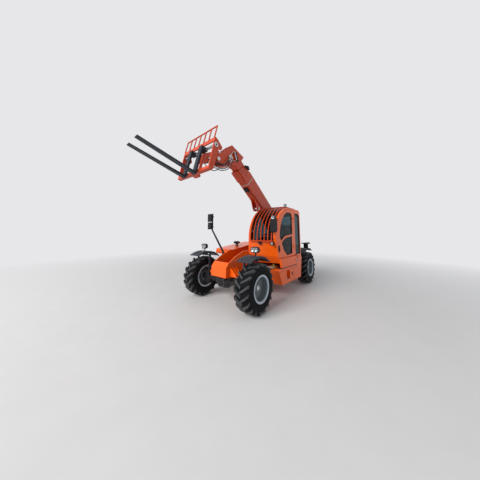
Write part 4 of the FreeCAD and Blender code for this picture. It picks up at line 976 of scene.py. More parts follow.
class HANDLER_OT_cylinder_fittings(bpy.types.Operator):
    """Glands and rod wipers of the lift and tilt cylinders, and the lift cylinder's ports and hard pipe"""

    bl_idname = "handler.cylinder_fittings"
    bl_label = "Cylinder fittings"

    def execute(self, context):
        lift = cylinder_matrix(GROUND @ LIFT_FOOT, BOOM @ LIFT_PIN)
        tilt = cylinder_matrix(BOOM @ Vector((3.76, 0, 0.07)), CARRIAGE @ Vector((-0.02, 0, 0.2)))
        for name, matrix, outer, rod_radius, length in (
                ("lift", lift, 0.056 + 0.006, 0.034, 2.0), ("tilt", tilt, 0.04 + 0.006, 0.022, 0.61)):
            barrel = {"body": f"{name}_barrel", "matrix": matrix}
            shape(f"{name}_gland", "black_paint", lathe(
                ((rod_radius + 0.001, 0.0), (outer, 0.0), (outer, 0.037), (outer - 0.006, 0.045),
                 (rod_radius + 0.001, 0.045)), at((length - 0.042, 0, 0), "Y", 90)), **barrel)
            shape(f"{name}_rod_wiper", "seal_rubber", lathe(
                ((rod_radius + 0.0006, 0.0), (rod_radius + 0.008, 0.0), (rod_radius + 0.004, 0.008),
                 (rod_radius + 0.0006, 0.008)), at((length + 0.003, 0, 0), "Y", 90)), **barrel)
        barrel = {"body": "lift_barrel", "matrix": lift @ at(axis="X", degrees=65)}
        shape("lift_pipe", "boom_orange_in_painted_shade",
              *(box((along - 0.02, -0.02, 0.05), (along + 0.02, 0.02, 0.076)) for along in (0.13, 1.9)),
              pipe(((1.88, 0.0, 0.066), (1.83, 0.0, 0.072), (1.0, 0.0, 0.072), (0.3, 0.0, 0.072),
                    (0.23, 0.012, 0.076), (0.15, 0.012, 0.07)), 0.008, 5), crease=60.0, **barrel)
        row("lift_pipe_clips", "zinc_steel", box((-0.01, -0.014, 0.054), (0.01, 0.014, 0.083)), 4,
            start=(0.45, 0, 0), step=(0.42, 0, 0), bevel=0.002, **barrel)
        return {"FINISHED"}


# Boom and carriage


BOOM_FACE = 0.1252
HEAD_HOSES = (
    ("left_long", ((4.15, 0.148, -0.285), (4.13, 0.165, -0.42), (4.16, 0.165, -0.6), (4.27, 0.15, -0.745),
                   (4.42, 0.125, -0.81), (4.57, 0.098, -0.815))),
    ("left_short", ((4.2, 0.148, -0.285), (4.19, 0.175, -0.42), (4.22, 0.175, -0.58), (4.33, 0.16, -0.7),
                    (4.47, 0.13, -0.765), (4.61, 0.098, -0.79))),
    ("left_middle", ((4.25, 0.168, -0.23), (4.245, 0.19, -0.36), (4.24, 0.19, -0.54), (4.33, 0.17, -0.66),
                     (4.47, 0.135, -0.73), (4.6, 0.098, -0.76))),
    ("left_outer", ((4.19, 0.186, -0.198), (4.11, 0.21, -0.36), (4.12, 0.205, -0.6), (4.24, 0.18, -0.79),
                    (4.4, 0.14, -0.86), (4.55, 0.098, -0.85))),
    ("right_long", ((4.17, -0.148, -0.285), (4.16, -0.165, -0.44), (4.19, -0.165, -0.6), (4.3, -0.15, -0.72),
                    (4.43, -0.125, -0.79), (4.58, -0.098, -0.81))))


class HANDLER_OT_boom_fittings(bpy.types.Operator):
    """Hose guide, strap, wear pad bolts, valve and hoses of the boom"""

    bl_idname = "handler.boom_fittings"
    bl_label = "Boom fittings"

    def execute(self, context):
        shape("hose_guide_cover", "dark_plastic", box((3.312, -0.078, 0.2004), (3.408, 0.078, 0.25)),
              *(rod((3.31, aside, 0.228), (3.415, aside, 0.228), 0.018) for aside in (-0.04, 0.04)),
              body="boom", bevel=0.006)
        for side, label in SIDES:
            face = side * 0.1332
            bolts(f"wear_pad_bolts_{label}", (0, side, 0), (
                ((3.53, face, 0.05), (0.12, 0, 0), 2), ((3.53, face, -0.06), (0.12, 0, 0), 2),
                ((3.66, face, -0.15), (0.09, 0, 0), 2)), "black_paint", "boom", "body_paint", size=0.012)
        bolts("wear_pad_bolts_top", (0, 0, 1), (
            ((3.27, -0.05, 0.2), (0, 0.1, 0), 2), ((2.9, -0.05, 0.2), (0, 0.1, 0), 2)), "boom_orange_in_painted_shade", "boom",
            size=0.012)
        wide = (0.024, 0, 0)
        shape("boom_strap", "pale_strap", *both(lambda side: [
            slab((3.283, side * 0.1263, -0.202), (3.236, side * 0.1263, 0.202), wide, (0, 0.0022, 0))]),
            *(slab((along, -0.127, level), (along, 0.127, level), wide, (0, 0, 0.0022))
              for along, level in ((3.236, 0.2013), (3.283, -0.2013))), body="boom")
        shape("boom_sensor", "dark_plastic", box((3.065, -0.075, -0.245), (3.185, 0.06, -0.2004)),
              box((3.185, -0.05, -0.212), (3.215, 0.035, -0.2004)),
              rod((3.065, 0.02, -0.222), (3.035, 0.02, -0.222), 0.014, 16),
              *(bolt((3.125, aside, -0.245), (0, 0, -1), 0.008) for aside in (-0.06, 0.045)),
              body="boom", bevel=0.003)
        hose("boom_sensor_lead", (
            (3.035, 0.02, -0.222), (3.0, 0.022, -0.221), (2.95, 0.05, -0.212), (2.9, 0.08, -0.207),
            (2.8, 0.1, -0.206), (2.7, 0.1, -0.206)), 0.005, "boom")
        along, over = Vector((0.945, -0.326)), Vector((0.326, 0.945))
        shape("mouth_hose_guide", "dark_plastic", *(prism([
            Vector((3.6, 0.1352)) + along * place.x + over * (place.y + tall + 0.001)
            for place in rounded(half, tall, corner)], near, far) for half, tall, corner, near, far in (
                (0.1, 0.03, 0.026, 0.1115, 0.162), (0.05, 0.04, 0.036, 0.162, 0.182))),
            rod((3.66, 0.137, 0.17), (3.7, 0.137, 0.17), 0.013, 16), body="boom", bevel=0.004)
        shape("lift_pin_ends", "bright_steel", *both(lambda side: [
            pin_keeper(2.437, -0.32, 0.03, side, 0.0882, 0.0882)]), body="boom", bevel=0.0015)
        bolts("boom_rear_bolts", (0, 1, 0), (
            ((0.14, 0.125, 0.14), (0.1, 0, 0), 3), ((0.14, 0.125, -0.14), (0.1, 0, 0), 3)), "boom_orange_in_painted_shade", "boom")
        head = {"body": "boom_extension"}
        start, end = Vector((3.985, 0.158, -0.052)), Vector((4.18, 0.158, 0.076))
        way = (end - start).normalized()
        shape("head_valve", "dark_plastic", rod(start, end, 0.021, 24),
              *(rod(place, place + way * 0.035, 0.027, 24) for place in (start, end - way * 0.035)),
              box((4.035, BOOM_FACE, -0.045), (4.075, 0.146, 0.02)),
              box((4.105, BOOM_FACE, 0.005), (4.145, 0.146, 0.065)),
              rod((4.19, 0.155, 0.045), (4.155, 0.155, 0.115), 0.009, 12),
              rod((4.02, 0.155, -0.11), (3.96, 0.155, -0.02), 0.009, 12), bevel=0.002, **head)
        start, end = Vector((4.03, 0.166, -0.085)), Vector((4.215, 0.166, 0.035))
        way = (end - start).normalized()
        shape("head_spool", "zinc_steel", rod(start, end, 0.016),
              *(rod(place - way * 0.012, place + way * 0.012, 0.022, 6)
                for place in (start.lerp(end, share) for share in (0.15, 0.5, 0.85))),
              box((4.175, BOOM_FACE, -0.23), (4.275, 0.168, -0.165)),
              *(draw for across in (4.195, 4.225, 4.255) for draw in (
                  rod((across, 0.148, -0.165), (across, 0.148, -0.135), 0.012, 6),
                  rod((across, 0.168, -0.198), (across, 0.186, -0.198), 0.011, 16))), bevel=0.002, **head)
        shape("head_pipes", "zinc_steel",
              pipe(((4.17, 0.15, 0.06), (4.23, 0.148, 0.04), (4.25, 0.148, -0.05), (4.225, 0.148, -0.18),
                    (4.2, 0.148, -0.25)), 0.007, 6),
              pipe(((4.0, 0.15, -0.07), (4.04, 0.15, -0.13), (4.12, 0.15, -0.19), (4.15, 0.15, -0.25)), 0.007, 6),
              *(draw for across in (4.15, 4.2) for draw in (
                  box((across - 0.018, BOOM_FACE, -0.285), (across + 0.018, 0.166, -0.25)),
                  rod((across, 0.148, -0.25), (across, 0.148, -0.232), 0.013, 6))), crease=60.0, **head)
        for name, points in HEAD_HOSES:
            for piece in hose(f"head_hose_{name}", points, 0.0105, None, BOOM):
                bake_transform(piece)
        shape("head_ports_right", "zinc_steel", box((4.13, -0.166, -0.285), (4.21, -BOOM_FACE, -0.24)),
              bevel=0.003, **head)
        return {"FINISHED"}


class HANDLER_OT_carriage_fittings(bpy.types.Operator):
    """Shaft ends, pin ends, guard bolts and fork latches of the carriage"""

    bl_idname = "handler.carriage_fittings"
    bl_label = "Carriage fittings"

    def execute(self, context):
        shape("shaft_end_rings", "bright_steel", *both(lambda side: [lathe(
            ((0.021, 0), (0.047, 0), (0.05, 0.004), (0.05, 0.012), (0.045, 0.016), (0.024, 0.016), (0.021, 0.012)),
            at((0.444, side * 0.5502, -0.1), "X", -90 * side), 40)]), body="carriage")
        shape("shaft_end_hollows", "seal_rubber", *both(lambda side: [
            rod((0.444, side * 0.5552, -0.1), (0.444, side * 0.558, -0.1), 0.0208, 32)]), body="carriage")
        shape("pivot_pin_ends", "bright_steel", *both(lambda side: (
            lathe(((0.0, 0), (0.046, 0), (0.046, 0.008), (0.03, 0.012), (0.0, 0.012)),
                  at((0, side * 0.1372, 0), "X", -90 * side), 36),
            bolt((0, side * 0.149, 0), (0, side, 0), 0.011))), body="boom_extension", matrix=CARRIAGE)
        shape("crank_pin_ends", "bright_steel", *both(lambda side: [
            rod((-0.02, side * 0.0852, 0.2), (-0.02, side * 0.094, 0.2), 0.027, 28)]), body="carriage", bevel=0.002)
        bolts("guard_bolts", (1, 0, 0), (((0.505, -0.525, 0.01), (0, 0.175, 0), 7),), "boom_orange_in_painted_shade", "carriage",
              size=0.009)
        bolts("carriage_side_bolts", (0, 1, 0), (((0.43, 0.55, -0.56), (0, 0, 0.03), 2),), "boom_orange_in_painted_shade", "carriage")
        for side, label in SIDES:
            shape(f"fork_latch_{label}", "zinc_steel",
                  rod((0.43, side * 0.18, -0.052), (0.43, side * 0.18, -0.02), 0.009, 16),
                  rod((0.43, side * 0.18, -0.03), (0.43, side * 0.18, -0.014), 0.015),
                  body=f"fork_{label}", bevel=0.0015)
        return {"FINISHED"}


# Cab


DOOR_UPPER = ((1.25, 1.6), (1.6, 1.565, 0.5), (1.95, 1.42), (2.03, 1.52, -0.72), (1.6, 2.205), (1.33, 2.215),
              (1.25, 2.13))
DOOR_LOWER = ((1.28, 1.06), (1.64, 1.04), (1.83, 1.19), (1.935, 1.37, -0.6), (1.6, 1.515), (1.28, 1.545))
QUARTER_WINDOW = ((0.69, 1.01), (1.05, 1.01), (1.05, 2.23), (0.77, 2.23), (0.69, 2.14))
BOOM_WINDOW = ((0.76, 1.3), (2.25, 1.3), (2.25, 1.62), (1.95, 2.08), (1.7, 2.23), (0.76, 2.23))
REAR_WINDOW = ((0.32, 1.25), (0.895, 1.25), (0.895, 2.2), (0.32, 2.2))
CAB_FRONT = 2.4
CAB_TOP = 2.35
CAB_BOW = 0.85
WIPER_SIDE = 0.553
# Where the seals lie aside: on the outer face of the cab's side, inside the door, and on the boom's side.
OUTER_SEAL = (0.9473, 0.9625)
INNER_SEAL = (0.927, 0.9387)
BOOM_SEAL = (0.2525, 0.2678)
REAR_SEAL = (0.6425, 0.6578)
HANDLE_CENTRE = (2.078, 1.237)
HANDLE_LEAN = 0.12
# Of each mirror: the half width, half height and corner of its shell and of its glass, its centre and face.
MIRRORS = (
    ((0.09, 0.146, 0.035), (0.078, 0.134, 0.028), (1.0065, 1.8), 2.3945),
    ((0.079, 0.114, 0.03), (0.068, 0.103, 0.024), (-0.85, 2.06), 2.7895),
    ((0.074, 0.1, 0.03), (0.063, 0.089, 0.024), (-0.845, 1.8275), 2.7895))
SHELL_DEPTH = 0.0465


def screen_line(aside, depth, low=1.45, rear=0.95, steps=18):
    """Points along the windscreen and roof at one distance from the middle, at a depth under the surface."""
    back = 0.15 * (aside - 0.25) / 0.715
    radius = CAB_BOW - depth
    points = [Vector((CAB_FRONT - back - depth, aside, low))]
    for step in range(steps + 1):
        angle = math.pi / 2 * step / steps
        points.append(Vector((CAB_FRONT - CAB_BOW - back + radius * math.cos(angle), aside,
                              CAB_TOP - CAB_BOW + radius * math.sin(angle))))
    return points + [Vector((rear, aside, CAB_TOP - depth))]


def screen_band(near, far, outer=-0.002, inner=0.0138):
    """A strip that follows the windscreen between two distances aside and two depths."""
    return strip([screen_line(aside, depth) for aside, depth in
                  ((near, outer), (far, outer), (far, inner), (near, inner))])


def handle_oval(half_across, half_up):
    """Points of the leaning oval of the door's handle."""
    return [Vector((HANDLE_CENTRE[0] + half_across * math.cos(turn) + HANDLE_LEAN * half_up * math.sin(turn),
                    HANDLE_CENTRE[1] + half_up * math.sin(turn))) for turn in round_angles(28)]


class HANDLER_OT_cab_trim(bpy.types.Operator):
    """Window seals, wiper, door handle and mirrors of the cab"""

    bl_idname = "handler.cab_trim"
    bl_label = "Cab trim"

    def execute(self, context):
        shape("door_seals", "seal_rubber", *(
            gasket(outline(corners), depth, *faces) for corners in (DOOR_UPPER, DOOR_LOWER)
            for depth, faces in ((0.015, OUTER_SEAL), (0.012, INNER_SEAL))), body="door", crease=50.0)
        shape("cab_seals", "seal_rubber", gasket(outline(QUARTER_WINDOW), 0.017, *OUTER_SEAL),
              gasket(outline(BOOM_WINDOW), 0.015, *BOOM_SEAL), gasket(outline(REAR_WINDOW), 0.015, *REAR_SEAL, "x"),
              screen_band(0.2952, 0.312), screen_band(0.888, 0.9048),
              slab((2.384, 0.2952, 1.4555), (2.256, 0.9048, 1.4555), (0.016, 0, 0), (0, 0, 0.014)),
              slab((0.951, 0.2952, 2.3435), (0.951, 0.9048, 2.3435), (0.016, 0, 0), (0, 0, 0.014)), crease=50.0)
        arm, blade = ([place + Vector((0, shift + 0.09 * index / 9, 0)) for index, place in enumerate(line)]
                      for line, shift in ((screen_line(WIPER_SIDE, -0.007)[1:10], 0.0),
                                          (screen_line(WIPER_SIDE, 0.004)[4:14], 0.02)))
        shape("wiper", "dark_plastic",
              prism(((0.5, 1.436), (0.536, 1.436), (0.567, 1.385), (0.6, 1.436), (0.632, 1.436), (0.59, 1.335),
                     (0.555, 1.335)), 2.328, 2.372, "x"),
              rod((2.35, WIPER_SIDE, 1.385), (2.345, WIPER_SIDE, 1.432), 0.011, 16),
              tube([Vector((2.345, WIPER_SIDE, 1.43)), *arm], 0.0045, 8),
              *(box(arm[index] - Vector((0.012, 0.012, 0.012)), arm[index] + Vector((0.008, 0.012, 0.012)))
                for index in (4, 8)), bevel=0.0015)
        shape("wiper_blade", "seal_rubber", tube(blade, 0.0065, 6))
        shape("door_handle_dish", "seal_rubber", prism(handle_oval(0.036, 0.082), 0.9652, 0.9672), body="door")
        shape("door_handle", "dark_plastic", gasket(handle_oval(0.044, 0.09), 0.009, 0.9652, 0.973),
              prism(((2.066, 1.19), (2.088, 1.19), (2.096, 1.285), (2.074, 1.285)), 0.967, 0.976),
              rod((2.072, 0.966, 1.178), (2.072, 0.974, 1.178), 0.009), body="door", bevel=0.0015)
        shells = [prism(rounded(*form, centre), face, face + SHELL_DEPTH, "x") for form, _, centre, face in MIRRORS]
        shape("mirror_shell_left", "dark_plastic", shells[0],
              rod((2.41, 0.95, 1.63), (2.41, 0.95, 1.68), 0.017),
              rod((2.235, 0.94, 1.655), (2.26, 0.94, 1.655), 0.026, 24), bevel=0.012, rounds=4)
        shape("mirror_shells_right", "dark_plastic", *shells[1:], bevel=0.012, rounds=4)
        shape("mirror_clamps", "black_paint", *(draw for level in (1.8, 2.09) for draw in (
            box((2.758, -0.793, level - 0.022), (2.802, -0.747, level + 0.022)),
            rod((2.78, -0.75, level), (2.78, -0.722, level), 0.009, 12))),
            box((2.758, -0.262, 1.035), (2.802, -0.2453, 1.085)), bevel=0.003)
        shape("mirror_glasses", "mirror_silver", *(
            prism(rounded(*form, centre), face - 0.0025, face - 0.0002, "x") for _, form, centre, face in MIRRORS))
        return {"FINISHED"}


SWELL_CAP = 0.016
SWELL_FRAMES = 20


def cushion(name, half, corner, matrix, channels):
    """A padded block that cloth pressure swells between its sewn channels."""
    mesh = to_mesh(name, [prism(rounded(half.x, half.y, corner), -half.z, half.z, "z")], Matrix.Identity(4))
    piece = bpy.data.objects.new(name, mesh)
    bpy.context.collection.objects.link(piece)
    cells = piece.modifiers.new("even_cells", "REMESH")
    cells.mode = "VOXEL"
    cells.voxel_size = 0.007
    bpy.context.view_layer.update()
    mesh = bpy.data.meshes.new_from_object(piece.evaluated_get(bpy.context.evaluated_depsgraph_get()))
    piece.modifiers.remove(cells)
    piece.data = mesh
    start = [vertex.co.copy() for vertex in mesh.vertices]
    held = [index for index, place in enumerate(start)
            if place.z < -half.z * 0.7 or (place.z > 0 and any(
                abs(place[axis] - channel) < 0.005 for axis, channel in channels))]
    piece.vertex_groups.new(name="held").add(held, 1.0, "REPLACE")
    swell = piece.modifiers.new("swell", "CLOTH")
    swell.settings.use_pressure = True
    swell.settings.uniform_pressure_force = 4.0
    swell.settings.effector_weights.gravity = 0.0
    swell.settings.vertex_group_mass = "held"
    swell.settings.quality = 4
    swell.point_cache.frame_start = 1
    swell.point_cache.frame_end = SWELL_FRAMES
    scene = bpy.context.scene
    for number in range(1, SWELL_FRAMES + 1):
        scene.frame_set(number)
    ready = piece.evaluated_get(bpy.context.evaluated_depsgraph_get())
    moved = [vertex.co.copy() for vertex in ready.data.vertices]
    piece.modifiers.remove(swell)
    scene.frame_set(1)
    for vertex, before, after in zip(mesh.vertices, start, moved):
        way = after - before
        if way.length > SWELL_CAP:
            way *= SWELL_CAP / way.length
        vertex.co = before + way
    mesh.transform(matrix)
    mesh.shade_smooth()
    mesh.materials.clear()
    mesh.materials.append(FINISHES["seat_cloth"])
    finer = piece.modifiers.new("finer", "SUBSURF")
    finer.levels = finer.render_levels = 1
    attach(piece, "chassis")


class HANDLER_OT_seat(bpy.types.Operator):
    """Two sewn cushions on a sprung base in place of the frame's plain seat"""

    bl_idname = "handler.seat"
    bl_label = "Seat"

    def execute(self, context):
        cushion("seat_cushion", Vector((0.222, 0.215, 0.04)), 0.06, GROUND @ at((1.155, 0.605, 1.318), "Y", -2),
                ((0, -0.06), (0, 0.07), (1, -0.135), (1, 0.135)))
        cushion("seat_back", Vector((0.25, 0.21, 0.036)), 0.07,
                GROUND @ at((0.872, 0.605, 1.64), "Y", -12) @ at(axis="Y", degrees=90),
                ((0, -0.1), (0, 0.02), (0, 0.14), (1, -0.13), (1, 0.13)))
        shape("seat_frame", "dark_plastic", box((1.0, 0.45, 0.9203), (1.29, 0.76, 0.965)),
              prism(rounded(0.215, 0.205, 0.04, (1.15, 0.605)), 1.236, 1.272, "z"),
              box((0.985, 0.37, 1.4), (1.3, 0.415, 1.425)), box((0.985, 0.795, 1.4), (1.3, 0.84, 1.425)),
              *(slab((0.93, aside, 1.255), (1.02, aside, 1.405), (0.03, 0, 0), (0, 0.02, 0))
                for aside in (0.392, 0.818)),
              slab((0.9, 0.605, 1.29), (0.79, 0.605, 1.86), (0.03, 0, 0), (0, 0.36, 0)),
              bevel=0.006, replaces=("seat",))
        row("seat_bellows", "seal_rubber", prism(rounded(0.13, 0.14, 0.03), 0.0, 0.016, "z"), 9,
            start=(1.15, 0.605, 0.968), step=(0, 0, 0.03), bevel=0.004)
        return {"FINISHED"}


class HANDLER_OT_cab_inside(bpy.types.Operator):
    """Steering wheel rim, instruments, levers, pedals, console and mat"""

    bl_idname = "handler.cab_inside"
    bl_label = "Cab inside"

    def execute(self, context):
        shape("steering_wheel_grip", "seat_vinyl",
              lathe([(0.165 + 0.0205 * math.cos(step * math.pi / 8), 0.0205 * math.sin(step * math.pi / 8))
                     for step in range(16)], sides=64),
              lathe(((0, 0.012), (0.05, 0.012), (0.045, 0.028), (0.02, 0.034), (0, 0.034)), sides=32),
              rod((-0.137, 0.085, 0.0), (-0.137, 0.085, 0.05), 0.008, 12),
              rod((-0.137, 0.085, 0.045), (-0.137, 0.085, 0.09), 0.02, tip=0.014),
              matrix=GROUND @ at((1.956, 0.61, 1.503), "Y", -33), crease=50.0)
        shape("instrument_housing", "seat_vinyl",
              prism(((2.095, 1.4405), (2.22, 1.404), (2.215, 1.47), (2.12, 1.52), (2.085, 1.5)), 0.43, 0.69),
              box((1.15, 0.2985, 0.9204), (1.66, 0.362, 1.4)),
              prism(((1.66, 1.1), (2.0, 0.96), (2.0, 0.9204), (1.66, 0.9204)), 0.2985, 0.362), bevel=0.006)
        shape("dials", "pale_strap", *(lathe(
            ((0, 0), (radius, 0), (radius, 0.006), (radius - 0.006, 0.008), (radius - 0.006, 0.004), (0, 0.004)),
            at((2.097, aside, 1.508), "Y", -60), 32)
            for aside, radius in ((0.49, 0.034), (0.56, 0.045), (0.63, 0.034))), slot="black_plastic")
        shape("levers_and_pedals", "dark_plastic", rod((1.5, 0.33, 1.4), (1.52, 0.33, 1.5), 0.009, 16),
              lathe(((0, 0), (0.016, 0), (0.024, 0.03), (0.026, 0.07), (0.018, 0.1), (0, 0.106)),
                    at((1.52, 0.33, 1.49), "Y", 8), 24),
              lathe(((0, 0), (0.03, 0), (0.022, 0.012), (0.026, 0.018), (0.017, 0.03), (0.02, 0.036), (0.01, 0.05),
                     (0, 0.05)), at((1.5, 0.33, 1.4)), 24),
              *(draw for across in (1.25, 1.33, 1.41) for draw in (
                  rod((across, 0.33, 1.4), (across + 0.01, 0.33, 1.46), 0.006, 12),
                  rod((across + 0.008, 0.33, 1.45), (across + 0.014, 0.33, 1.482), 0.013, 16, 0.01))),
              rod((2.02, 0.72, 1.43), (1.93, 0.83, 1.47), 0.006, 12),
              *(draw for aside, across in ((0.74, 1.99), (0.78, 1.99)) for draw in (
                  slab((across + 0.06, aside, 0.99), (across - 0.03, aside, 1.06), (0, 0.05, 0), (0.008, 0, 0.01)),
                  rod((across + 0.015, aside, 1.02), (across + 0.1, aside, 0.93), 0.008, 12))))
        row("floor_mat", "seal_rubber", box((-0.006, -0.29, 0.0), (0.006, 0.29, 0.004)), 34,
            start=(1.33, 0.605, 0.9205), step=(0.018, 0, 0))
        shape("roof_console", "seat_vinyl", box((0.76, 0.31, 2.29), (0.93, 0.895, 2.3045)),
              slab((0.83, 0.34, 2.27), (0.83, 0.87, 2.27), (0.1, 0, 0), (0, 0, 0.036)), bevel=0.006)
        return {"FINISHED"}


# Lamps


def stadium(half_flat, radius, centre, steps=10):
    """Points of an upright-sided oval made of two half circles."""
    points = []
    for side, first in ((1, -math.pi / 2), (-1, math.pi / 2)):
        for step in range(steps + 1):
            angle = first + math.pi * step / steps
            points.append(Vector((centre[0] + side * half_flat + radius * math.cos(angle),
                                  centre[1] + radius * math.sin(angle))))
    return points


@drawn
def crowned(bm, points, low, heights):
    """A closed pad over an outline drawn across X, its face rising in steps of (inset, height)."""
    loops = [[bm.verts.new(spot(*point, height, "x")) for point in line] for line, height in
             ((points, low), *((inset(points, depth), height) for depth, height in heights))]
    for near, far in zip(loops, loops[1:]):
        bridge(bm, near, far)
    bm.faces.new(loops[0][::-1])
    bm.faces.new(loops[-1])


class HANDLER_OT_lamps(bpy.types.Operator):
    """Lenses, reflectors and bezels of all the lamps"""

    bl_idname = "handler.lamps"
    bl_label = "Lamps"

    def execute(self, context):
        for sign, label in SIDES:
            side = sign * 0.86
            oval = stadium(0.041, 0.064, (side, 1.26))
            shape(f"headlamp_bezel_{label}", "dark_plastic", gasket(inset(oval, -0.003), 0.019, 2.972, 3.003, "x"),
                  rod((2.93, side, 1.26), (2.905, side, 1.26), 0.034, 28, 0.026), bevel=0.002)
            shape(f"headlamp_reflector_{label}", "reflector_silver", prism(inset(oval, 0.014), 2.9892, 2.991, "x"),
                  *(lathe(((0.012, 0.0), (0.042, 0.012), (0.045, 0.012), (0.02, 0.0)),
                          at((2.9905, side + aside, 1.26), "Y", 90), 32) for aside in (-0.042, 0.042)))
            shape(f"headlamp_lens_{label}", "lamp_lens", crowned(
                inset(oval, 0.014), 3.0032, ((0.0, 3.006), (0.01, 3.011), (0.026, 3.014))), crease=60.0)
        shape("beacon_dome", "pale_lens", lathe(
            ((0, 0.02), (0.0505, 0.02), (0.0505, 0.125), (0.044, 0.14), (0.026, 0.15), (0, 0.152)),
            at((0.8, 0.56, 2.435)), 40), crease=50.0)
        shape("beacon_base", "dark_plastic",
              lathe(((0, 0), (0.056, 0), (0.056, 0.016), (0.051, 0.021), (0, 0.021)), at((0.8, 0.56, 2.435)), 40),
              lathe(((0, 0), (0.018, 0), (0.018, 0.05), (0, 0.05)), at((0.8, 0.56, 2.375)), 20))
        for name, centre, radius in (
                ("work_lamp", (2.2752, 0.912, 2.01), 0.055), ("round_lamp", (2.3302, 0.9, 1.37), 0.04)):
            facing = at(centre, "Y", 90)
            clear = radius - 0.0075
            for part, paint, profile, crease in (
                    ("rim", "dark_plastic", ((radius - 0.007, -0.01), (radius + 0.004, -0.014), (
                        radius + 0.004, 0.008), (radius - 0.004, 0.01), (radius - 0.007, 0.002)), CREASE),
                    ("reflector", "reflector_silver", (
                        (0, 0.0), (clear, 0.0), (clear, 0.0025), (0.012, 0.001), (0, 0.001)), CREASE),
                    ("lens", "lamp_lens", (
                        (0, 0.0035), (clear, 0.0035), (clear, 0.006), (radius * 0.5, 0.0095), (0, 0.011)), 60.0)):
                shape(f"{name}_{part}", paint, lathe(profile, facing, 40), crease=crease)
        for sign, label in SIDES:
            side = sign * 0.855
            shape(f"tail_lamp_housing_{label}", "dark_plastic",
                  box((-0.378, side - 0.072, 1.255), (-0.3603, side + 0.072, 1.312)), bevel=0.003)
            for name, paint, low, high in (("stop", "red_lens", -0.066, 0.0), ("turn", "amber_lens", 0.004, 0.066)):
                shape(f"{name}_lens_{label}", paint, box((-0.386, side + low, 1.261), (-0.3782, side + high, 1.306)),
                      bevel=0.003)
        return {"FINISHED"}


# Engine side and mudguards


CAP_RIBS = 36


class HANDLER_OT_engine_side(bpy.types.Operator):
    """Louvre screens, latches, cap ribs and the engine's own parts"""

    bl_idname = "handler.engine_side"
    bl_label = "Engine side"

    def execute(self, context):
        shape("bay_screen", "seal_rubber", box((0.93, -0.9444, 0.64), (1.77, -0.94, 0.885)))
        shape("hood_screen", "seal_rubber", box((0.98, -0.9474, 1.05), (1.72, -0.943, 1.165)), body="hood")
        row("bay_louvre_blades", "black_paint", slab((-0.395, 0, 0), (0.395, 0, 0), (0, -0.012, -0.008), (0, 0, 0.002)),
            6, start=(1.35, -0.961, 0.668), step=(0, 0, 0.042))
        row("hood_louvre_blades", "orange_paint",
            slab((-0.345, 0, 0), (0.345, 0, 0), (0, -0.01, -0.007), (0, 0, 0.002)), 4, "hood",
            start=(1.35, -0.961, 1.072), step=(0, 0, 0.028))
        shape("hood_latches", "dark_plastic", *(draw for across in (0.95, 2.05) for draw in (
            box((across - 0.02, -0.972, 1.04), (across + 0.02, -0.9602, 1.1)),
            rod((across, -0.971, 1.055), (across, -0.979, 1.055), 0.011))), body="hood", bevel=0.003)
        row("cap_ribs", "dark_plastic", slab((0.1, 0, 0.004), (0.1, 0, 0.037), (0, 0.006, 0), (0.006, 0, 0)),
            CAP_RIBS, "hood", start=(1.9, -0.6, 1.31), turn=(0, 0, 2 * math.pi / CAP_RIBS))
        shape("cap_band", "zinc_steel",
              lathe(((0.0455, 0), (0.05, 0), (0.05, 0.02), (0.0455, 0.02)), at((1.9, -0.6, 1.25)), 36),
              box((1.955, -0.61, 1.252), (1.945, -0.59, 1.268)), body="hood")
        bolts("bay_bolts", (0, -1, 0), (((0.76, -0.96, 0.6), (0.36, 0, 0), 5), ((0.76, -0.96, 0.985), (0.36, 0, 0), 5)),
              "black_paint", size=0.008)
        shape("bay_handle", "dark_plastic", pipe((
            (1.25, -0.958, 0.935), (1.25, -0.99, 0.935), (1.28, -0.995, 0.935), (1.42, -0.995, 0.935),
            (1.45, -0.99, 0.935), (1.45, -0.958, 0.935)), 0.008, 5), crease=60.0)
        shape("engine_cover", "engine_iron", prism(rounded(0.2, 0.1, 0.03, (1.3, -0.6)), 1.1202, 1.145, "z"),
              *(rod((across, -0.6, 1.145), (across, -0.6, 1.158), 0.022) for across in (1.16, 1.3, 1.44)),
              lathe(((0, 0), (0.055, 0), (0.055, 0.13), (0.04, 0.14), (0, 0.14)),
                    at((1.1, -0.8202, 0.85), "X", 90), 32), bevel=0.004)
        return {"FINISHED"}


GUARD_RADIUS = 0.631
GUARD_LIP = 0.606
GUARD_TOP = 0.637


def guard_arc(radius, aside, first, last, steps=26):
    """Points round a wheel's centre on one radius, from one angle to another."""
    return [Vector((radius * math.cos(first + (last - first) * step / steps), aside,
                    radius * math.sin(first + (last - first) * step / steps))) for step in range(steps + 1)]


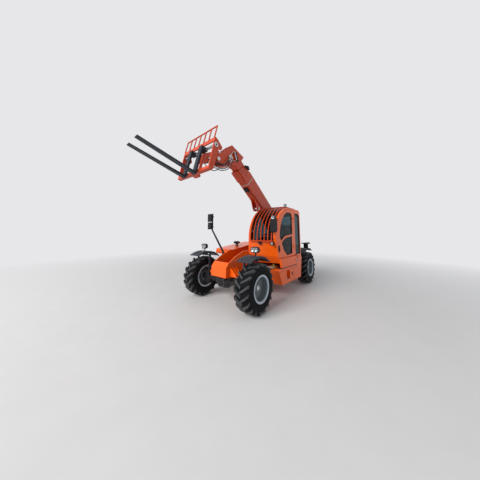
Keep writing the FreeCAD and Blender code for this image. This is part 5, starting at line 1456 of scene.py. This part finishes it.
class HANDLER_OT_mudguards(bpy.types.Operator):
    """Turned-down edges, grooves and stay bolts of the mudguards"""

    bl_idname = "handler.mudguards"
    bl_label = "Mudguards"

    def execute(self, context):
        for (end, ahead), reach_ahead, reach_behind, stay in zip(AXLES, (0.33, 0.4), (0.4, 0.33), (0.0, 0.15)):
            first = math.acos(min(1, reach_ahead / GUARD_RADIUS))
            last = math.pi - math.acos(min(1, reach_behind / GUARD_RADIUS))
            place = on_axle(ahead)
            shape(f"mudguard_edges_{end}", "fender_plastic", *both(lambda side: [
                draw for aside in (0.661, 0.989) for draw in (
                    tube(guard_arc(GUARD_RADIUS, side * aside, first, last), 0.0085, 10),
                    strip([guard_arc(radius, side * offset, first, last) for radius, offset in (
                        (GUARD_RADIUS, aside - 0.002), (GUARD_RADIUS, aside + 0.002), (GUARD_LIP, aside + 0.002),
                        (GUARD_LIP, aside - 0.002))]))]), matrix=place, crease=60.0)
            shape(f"mudguard_grooves_{end}", "seal_rubber", *both(lambda side: [
                tube(guard_arc(0.6375, side * aside, low, high, 10), 0.006, 8) for aside in (0.74, 0.825, 0.91)
                for low, high in ((first + 0.06, first + 0.42), (last - 0.42, last - 0.06))]),
                matrix=place, crease=60.0)
            height = math.sqrt(GUARD_TOP ** 2 - stay ** 2)
            bolts(f"mudguard_bolts_{end}", (0, 0, 1), (
                ((stay, 0.72, height), (0, 0.2, 0), 2), ((stay, -0.72, height), (0, -0.2, 0), 2)), matrix=place,
                size=0.009)
        return {"FINISHED"}


# The sidebar


GROUPS = {"handler_paint": HandlerPaint, "handler_tyre": HandlerTyres, "handler_studio": HandlerStudio}
OPERATORS = (
    HANDLER_OT_finishes, HANDLER_OT_tyres, HANDLER_OT_wheel_fittings, HANDLER_OT_axle_fittings,
    HANDLER_OT_frame_fittings, HANDLER_OT_cylinder_fittings, HANDLER_OT_boom_fittings,
    HANDLER_OT_carriage_fittings, HANDLER_OT_cab_trim, HANDLER_OT_seat, HANDLER_OT_cab_inside, HANDLER_OT_lamps,
    HANDLER_OT_engine_side, HANDLER_OT_mudguards, HANDLER_OT_studio)


class HANDLER_PT_sidebar(bpy.types.Panel):
    """Lists every step of the handler in the sidebar"""

    bl_idname = "HANDLER_PT_sidebar"
    bl_label = "Telescopic handler"
    bl_space_type = "VIEW_3D"
    bl_region_type = "UI"
    bl_category = "Handler"

    def draw(self, context):
        for group in GROUPS:
            column = self.layout.column(align=True)
            values = getattr(context.scene, group)
            for label in type(values).__annotations__:
                column.prop(values, label)
        for step in OPERATORS:
            self.layout.operator(step.bl_idname)


CLASSES = (*GROUPS.values(), *OPERATORS, HANDLER_PT_sidebar)


def register():
    for kind in CLASSES:
        bpy.utils.register_class(kind)
    for name, kind in GROUPS.items():
        setattr(bpy.types.Scene, name, PointerProperty(type=kind))


def unregister():
    for name in GROUPS:
        delattr(bpy.types.Scene, name)
    for kind in reversed(CLASSES):
        bpy.utils.unregister_class(kind)


def main():
    register()
    for step in OPERATORS:
        group, name = step.bl_idname.split(".")
        getattr(getattr(bpy.ops, group), name)()


if __name__ == "__main__":
    main()
